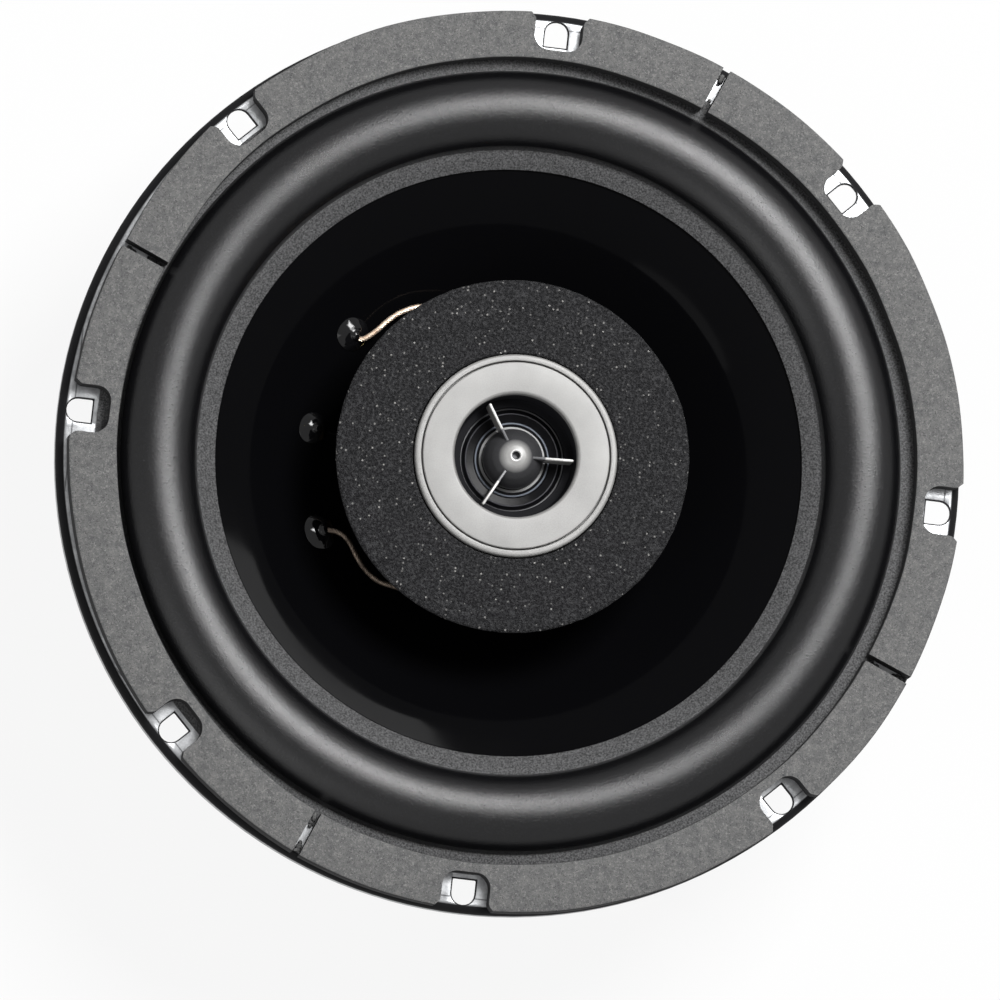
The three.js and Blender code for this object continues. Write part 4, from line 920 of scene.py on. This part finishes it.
tweeterSize = {
    "housing": [
        (4.3, 64), (18.5, 64, 0.6), (18.5, 75, 0.6), (23.4, 76.5, 0.5), (23.4, 93.7, 0.6), (21.9, 93.7, 0.2),
        (21.9, 91.2), (20, 91.2), (20, 81.8), (17, 81.8), (17, 65.5), (4.3, 65.5)],
    "ring": [(14.2, 91.2), (21.6, 91.2), (21.6, 93.7, 0.3), (14.2, 93.7, 0.8)],
    "throat": [
        (12, 84.2, 0.2), (17, 84.2), (17, 82.8), (19.7, 82.8), (19.7, 91.2), (14.2, 91.2), (13.9, 85, 0.5),
        (12, 85, 0.25)],
    "bullet": [
        (0, 85), (7, 85, 0.15), (6.9, 86.4, 0.6), (6.23, 88.4, 3), (5.18, 90.3, 3), (3.78, 92, 2.4), (2.38, 93.1, 1.6),
        (1.3, 93.5, 0.4), (0.85, 93.4, 0.1), (0.85, 91.5), (0, 91.5)],
    "noseHighlightLevels": (91.8, 92.9), "finHighlightRadii": (6.8, 7.2), "holeShadeRadii": (0.9, 1.1),  # heights and radii of the painted highlight and of the painted shade round the hole
    "fins": {
        "first": 2.2, "thickness": 0.65, "inner": 3, "outer": 13.5, "low": 85, "high": 91.7, "corner": 0.3,
        "edge": 0.16},
    "dome": [
        (0, 84.2), (7, 84.0, 0.3), (7.62, 83.55, 0.2), (8.4, 83.6, 0.2), (8.8, 83.15, 0.2), (10.67, 83.45, 0.3),
        (11.3, 82.87, 0.2), (12.7, 82.6, 0.2), (13.4, 82.7, 0.2), (15, 83.3, 0.6), (16.6, 82.3, 0.2), (19.7, 82.3)],
    "filmThickness": 0.35,
    "paintedRingHighlights": [  # painted highlights on the crests of the steps: radius, half width, colour
        (7.35, 0.2, (0.5, 0.5, 0.5)), (8.45, 0.14, (0.2, 0.22, 0.26)), (10.7, 0.1, (0.09, 0.09, 0.1)),
        (11.85, 0.12, (0.24, 0.24, 0.25))],
    "post": [
        (0, 0.4), (5, 0.4, 0.4), (5, 34), (12, 34, 0.2), (12, 36.4, 0.6), (8, 36.6, 1.2), (8, 64), (4, 64), (4, 65.2),
        (0, 65.2)],
}


def makeFins():
    size = tweeterSize["fins"]
    inner, outer, half, corner = size["inner"], size["outer"], size["thickness"] / 2, size["corner"]
    fins = []
    for index in range(3):
        outline = [(inner, -half), (outer, -half, corner), (outer, half, corner), (inner, half)]
        fin = turned(slab("fin", outline, size["low"], size["high"]), size["first"] + index * 120)
        soften(fin, size["edge"], 2, 50)
        fins.append(fin)
    return fins


def makeTweeter():
    size = tweeterSize
    for name, key, step, slot, material, node in (
            ("tweeterHousing", "housing", 18, "satin_silver", satinSilver, "tweeter_housing"),
            ("tweeterRing", "ring", 12, "satin_silver", satinSilver, "tweeter_front_ring"),
            ("tweeterThroat", "throat", 18, "black_plastic", throatBlack, "tweeter_throat")):
        dressPiece(spin(name, size[key], 128, step=step), slot, material, node, angle=40)
    plug = spin("phaseBullet", size["bullet"], 64, closed=False, step=8)
    plug = merged([plug, *makeFins()], "phasePlug")
    dressPiece(plug, "satin_silver", bulletSatin, "phase_plug", angle=40)
    film = spin("tweeterFilm", size["dome"], 96, closed=False, step=15)
    thicken(film, size["filmThickness"])
    dressPiece(film, "diaphragm_film", glossFilm, "tweeter_diaphragm", body="tweeter_film", angle=50)
    post = spin("tweeterPost", size["post"], 64, closed=False)
    dressPiece(post, "black_plastic", mouldedBlack, "tweeter_post", angle=40)


satinSilver = makeSatinSilver()
bulletSatin = makeBulletSatin()
throatBlack = makeMouldedBlack("throatBlack", (0.014, 0.014, 0.016), 0.6)
mouldedBlack = makeMouldedBlack("mouldedBlack", (0.018, 0.018, 0.02), 0.42)
glossFilm = makeGlossFilm()
makeTweeter()
print("tweeter built")


# Motor behind the basket

def makeWornMetal(name, base, roughness, metallic, clouds, dark, light, polish, fine, bump):
    material, tree = newMaterial(name, base, roughness, metallic)
    wear = grain(tree, *clouds)
    paint(tree, tint(tree, ranged(tree, wear, 0.3, 0.7), dark, light), ranged(tree, wear, 0.3, 0.7, *polish))
    relief(tree, grain(tree, *fine), *bump)
    return material


def makeFerrite():
    material, tree = newMaterial("sinteredFerrite", (0.022, 0.022, 0.025), 0.62, 0, 0.45)
    grit = grain(tree, 1800, 4, 0.7)
    chips = grain(tree, 320, 3, 0.7)
    body = tint(tree, grit, (0.014, 0.014, 0.016), (0.034, 0.034, 0.038))
    paint(tree, tint(tree, ranged(tree, chips, 0.68, 0.74, 0, 0.5), body, (0.09, 0.09, 0.095)))
    relief(tree, grit, 0.35, 0.0002)
    return material


def makeSpiderCloth():
    material, tree = newMaterial("spiderCloth", (0.5, 0.33, 0.12), 0.9, 0, 0.2)
    weave = maths(tree, "MULTIPLY", stripes(tree, "X", 420, 0.6, 1), stripes(tree, "Y", 420, 0.6, 1))
    stains = grain(tree, 60, 3)
    yarn = tint(tree, weave, (0.32, 0.2, 0.06), (0.58, 0.4, 0.16))
    paint(tree, tint(tree, ranged(tree, stains, 0.4, 0.7, 0, 0.5), yarn, (0.3, 0.18, 0.05)))
    relief(tree, weave, 0.6, 0.0003)
    return material


motorSize = {
    "yoke": [
        (13, 0, 0.4), (55, 0, 2.2), (55, 8, 0.4), (18.5, 8), (18.5, 34, 0.6), (5.3, 34, 0.3), (5.3, 5.6), (13, 5.6)],
    "magnet": [(27, 8), (60, 8, 1.3), (60, 26, 1.3), (27, 26)],
    "topPlate": [(20.7, 26), (56, 26, 0.3), (56, 33, 0.7), (20.7, 33)],
    "rivet": [(0, 34.2), (4.6, 34.2), (4.5, 34.9, 0.4), (3.2, 35.7, 0.8), (0, 35.8)],
    "rivetPitch": 38,
    "washer": [(5.3, 4.6), (9.5, 4.6, 0.3), (9.5, 5.6), (5.3, 5.6)],
    "spider": {
        "collar": 19.75, "middle": 42.45, "collarHigh": 45.45, "waves": 4, "height": 1.5, "start": 24, "end": 48.5,
        "flat": 1.5, "lip": 57, "thickness": 0.5},
}


def makeMotor():
    size = motorSize
    dressPiece(spin("backPlateAndPole", size["yoke"], 96), "motor_steel", motorSteel, "yoke")
    dressPiece(spin("ferriteRing", size["magnet"], 96), "ferrite", ferrite, "ferrite_magnet")
    dressPiece(spin("topPlate", size["topPlate"], 96), "motor_steel", motorSteel, "top_plate")
    for index in range(4):
        rivet = spin(f"motorRivet{index + 1}", size["rivet"], 32, closed=False)
        turned(rivet, 0, around(size["rivetPitch"], 45 + index * 90))
        dressPiece(rivet, "tinned_metal", tinned, f"motor_rivet_{index + 1}")
    dressPiece(spin("postWasher", size["washer"], 48), "tinned_metal", tinned, "post_washer")


def makeSpider():
    size = motorSize["spider"]
    steps = 12 * size["waves"]
    start, end, middle = size["start"], size["end"], size["middle"]
    waves = [(between(start, end, step / steps), middle + size["height"] * cos(tau * size["waves"] * step / steps))
             for step in range(steps + 1)]
    line = [(size["collar"], size["collarHigh"]), (size["collar"], middle, 0.8), *waves,
            (end + size["flat"], middle, 0.6), (size["lip"], middle)]
    spider = spin("spiderCloth", line, 120, closed=False)
    thicken(spider, size["thickness"])
    dressPiece(spider, "spider_cloth", spiderCloth, "spider", body=None, angle=70)
    linkMotion(spider, lambda place: (end - hypot(place.x, place.y)) / (end - start))


def dressCopy(node, name, slot, material, width):  # the CAD shape with softened edges
    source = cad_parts[node]
    piece = source.copy()
    piece.data = source.data.copy()
    piece.name = name
    bpy.context.collection.objects.link(piece)
    for key in list(piece.keys()):
        if key.startswith("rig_"):
            del piece[key]
    piece.parent = None
    pick(piece)
    editMode()
    bpy.ops.mesh.remove_doubles(threshold=1e-6)
    bpy.ops.mesh.tris_convert_to_quads()
    deselect()
    soften(piece, width)
    dressPiece(piece, slot, material, node, angle=35)


motorSteel = makeWornMetal(
    "passivatedSteel", (0.05, 0.05, 0.054), 0.42, 0.7, (70, 4), (0.035, 0.035, 0.038), (0.08, 0.08, 0.086),
    (0.32, 0.5), (1500, 3), (0.15, 0.0001))
ferrite = makeFerrite()
tinned = makeWornMetal(
    "tinnedMetal", (0.7, 0.7, 0.68), 0.3, 1.0, (380, 4, 0.6), (0.5, 0.5, 0.48), (0.78, 0.78, 0.76), (0.22, 0.42),
    (3000, 2), (0.1, 0.00005))
spiderCloth = makeSpiderCloth()
makeMotor()
makeSpider()
dressCopy("post_nut", "postNut", "tinned_metal", tinned, 0.35)
print("motor stacked")


# Terminal board with its blades, rivets and capacitor

boardSize = {
    "boardEdge": 0.15, "bladeEdge": 0.12,
    "smallRivet": [
        (0, -0.6), (2.2, -0.6, 0.25), (2.2, 0), (1.2, 0), (1.2, 1.6), (2.2, 1.6), (2.2, 2.2, 0.25), (0, 2.2)],
    "rivets": [  # name, node, thickness that it holds beyond the smallest, places
        ("terminalRivet", "terminal_rivet", 0.8, [(-70, -8, 38.6), (-70, 0, 38.6), (-70, 8, 38.6)]),
        ("boardRivet", "board_rivet", 1.2, [(-62.6, -6, 39.4), (-62.6, 6, 39.4)])],
    "capacitor": [
        (0, -10), (3.2, -10), (3.6, -9.6, 0.2), (4.4, -10, 0.3), (5, -9.2, 0.5), (5, 9.2, 0.5), (4.4, 10, 0.3),
        (3.6, 9.6, 0.2), (3.2, 10), (0, 10)],
    "canPlace": (-67, 0, 32.7),
    "wireOut": (-67, -74.6), "wireSide": 10.3, "wireHeight": (32.7, 37.8), "wireDiameter": 0.8,
    "wires": [  # shares of these three
        [(0, 1, -0.039), (0.04, 1.165, -0.02), (0.316, 1.32, 0.294), (0.737, 1.282, 0.725), (0.974, 1.126, 0.902),
         (1, 0.951, 1)],
        [(0, 1, -0.039), (0.053, 1.165, -0.02), (0.447, 1.243, 0.255), (0.868, 1.01, 0.569), (1.053, 0.583, 0.765),
         (1.026, 0.233, 0.882), (0.974, 0.078, 1)]],
}


def makeTerminals():
    edge = boardSize["bladeEdge"]
    dressCopy("terminal_board", "terminalBoard", "phenolic", phenolic, boardSize["boardEdge"])
    dressCopy("terminal_positive", "positiveBlade", "tinned_metal", tinned, edge)
    dressCopy("terminal_negative", "negativeBlade", "tinned_metal", tinned, edge)
    dressCopy("tweeter_tag", "tweeterTag", "tinned_metal", tinned, edge)
    for name, node, held, places in boardSize["rivets"]:
        outline = [(r, z if z <= 0 else z + held, *rest) for r, z, *rest in boardSize["smallRivet"]]
        for index, spot in enumerate(places):
            rivet = turned(spin(f"{name}{index + 1}", outline, 24, closed=False), 0, spot)
            dressPiece(rivet, "tinned_metal", tinned, f"{node}_{index + 1}")


def makeCapacitor():
    size = boardSize
    can = spin("capacitorBody", size["capacitor"], 48, closed=False)
    can.data.transform(Matrix.Rotation(radians(90), 4, "X"))
    turned(can, 0, size["canPlace"])
    dressPiece(can, "black_plastic", mouldedBlack, "crossover_capacitor", angle=40)
    for index, rows in enumerate(size["wires"]):
        side = size["wireSide"] * (1 - index * 2)
        points = [Vector((between(*size["wireOut"], a), side * b, between(*size["wireHeight"], c))) for a, b, c in rows]
        wire = tube(f"capacitorWire{index + 1}", curved(points, 0.4), size["wireDiameter"], 3)
        dressPiece(wire, "tinned_metal", tinned, f"capacitor_wire_{index + 1}", angle=60)


phenolic = makeMottled(
    "phenolicSheet", (0.11, 0.055, 0.025), 0.55, (700, 4, 0.65, (1, 0.15, 1)), (0.075, 0.035, 0.016),
    (0.17, 0.09, 0.045), (0.2, 0.0001), 0.45)
makeTerminals()
makeCapacitor()
print("terminals riveted")


# Pieces that keep their CAD shape

def makeWinding(name, dark, light):
    material, tree = newMaterial(name, light, 0.35, 0.8)
    turns = stripes(tree, "Z", 900)
    paint(tree, tint(tree, turns, dark, light))
    relief(tree, turns, 0.5, 0.0002)
    return material


def dressNodes(material, *nodes):
    for node in nodes:
        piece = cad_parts[node]
        piece.data.materials.clear()
        piece.data.materials.append(material)


copperWinding = makeWinding("copperWinding", (0.35, 0.14, 0.05), (0.72, 0.35, 0.16))
aluminiumWinding = makeWinding("aluminiumWinding", (0.4, 0.3, 0.2), (0.75, 0.62, 0.48))
eyeletBrass = makeBraidCopper("eyeletBrass", (0.55, 0.42, 0.16), (0.75, 0.6, 0.28))
formerPaper = makeMottled(
    "formerPaper", (0.26, 0.17, 0.09), 0.75, (900, 4, 0.65, (1, 1, 0.2)), (0.2, 0.13, 0.065), (0.32, 0.22, 0.12),
    (0.2, 0.0001))
dressNodes(formerPaper, "voice_coil_former")
dressNodes(copperWinding, "voice_coil_winding")
dressNodes(aluminiumWinding, "tweeter_coil")
dressNodes(tinned, "tweeter_yoke", "tweeter_magnet", "tweeter_pole_plate")
dressNodes(eyeletBrass, "eyelet_1", "eyelet_2", "eyelet_3")
dressNodes(glossGlue, "coil_lead_1", "coil_lead_2")
print("inner pieces dressed")


# Studio: a pale floor, a white surround for camera and gloss, and soft lamps

studio = {
    "ambient": 0.17,
    "floorSize": 6, "floorDrop": 0.2 * mm, "floorGlow": 0.9,
    "lamps": [  # degrees off the axis, degrees clockwise from the picture's top, distance, width, power, gloss only
        ("keySoftbox", 26, 42, 1.3, 0.42, 17, False),
        ("fillSoftbox", 48, 230, 1.5, 0.7, 3.5, False),
        ("sheenSoftbox", 27, 44, 1.3, 0.62, 18, True),
    ],
}


def makeFloor():
    material, tree = newMaterial("paleFloor", (0.9, 0.9, 0.9), 0.8, 0, 0.2)
    share = maths(tree, "MULTIPLY", seenRays(tree), studio["floorGlow"])
    glow = put(tree, "Emission", {"Color": (1, 1, 1, 1), "Strength": 1.0}).outputs[0]
    plain = tree.nodes["Principled BSDF"].outputs[0]
    mix = put(tree, "MixShader", {"Fac": share, 1: plain, 2: glow}).outputs[0]
    under = put(tree, "NewGeometry").outputs["Backfacing"]  # the floor is clear from below
    clear = put(tree, "BsdfTransparent").outputs[0]
    mix = put(tree, "MixShader", {"Fac": under, 1: mix, 2: clear}).outputs[0]
    tree.links.new(mix, tree.nodes["Material Output"].inputs["Surface"])
    deselect()
    bpy.ops.mesh.primitive_plane_add(size=studio["floorSize"], location=(0, 0, -studio["floorDrop"]))
    floor = bpy.context.object
    floor.name = "floor"
    floor.data.materials.append(material)


def makeWorld():
    world = bpy.data.worlds.new("studio")
    bpy.context.scene.world = world
    world.use_nodes = True
    tree = world.node_tree
    background = tree.nodes["Background"]
    background.inputs["Color"].default_value = (1, 1, 1, 1)
    tree.links.new(ranged(tree, seenRays(tree), 0, 1, studio["ambient"], 1), background.inputs["Strength"])


def makeLamps():
    for name, off, clockwise, distance, width, power, glossOnly in studio["lamps"]:
        sideways = right * sin(radians(clockwise)) + up * cos(radians(clockwise))
        towards = axis * cos(radians(off)) + sideways * sin(radians(off))
        bpy.ops.object.light_add(type="AREA", location=axis * view["height"] + towards * distance)
        lamp = bpy.context.object
        lamp.name = name
        lamp.data.size = width
        lamp.data.energy = power
        lamp.rotation_mode = "QUATERNION"
        lamp.rotation_quaternion = towards.to_track_quat("Z", "Y")
        lamp.visible_camera = False
        lamp.visible_diffuse = not glossOnly


makeFloor()
makeWorld()
makeLamps()
bpy.context.scene.view_settings.view_transform = "Standard"
print("studio lit")
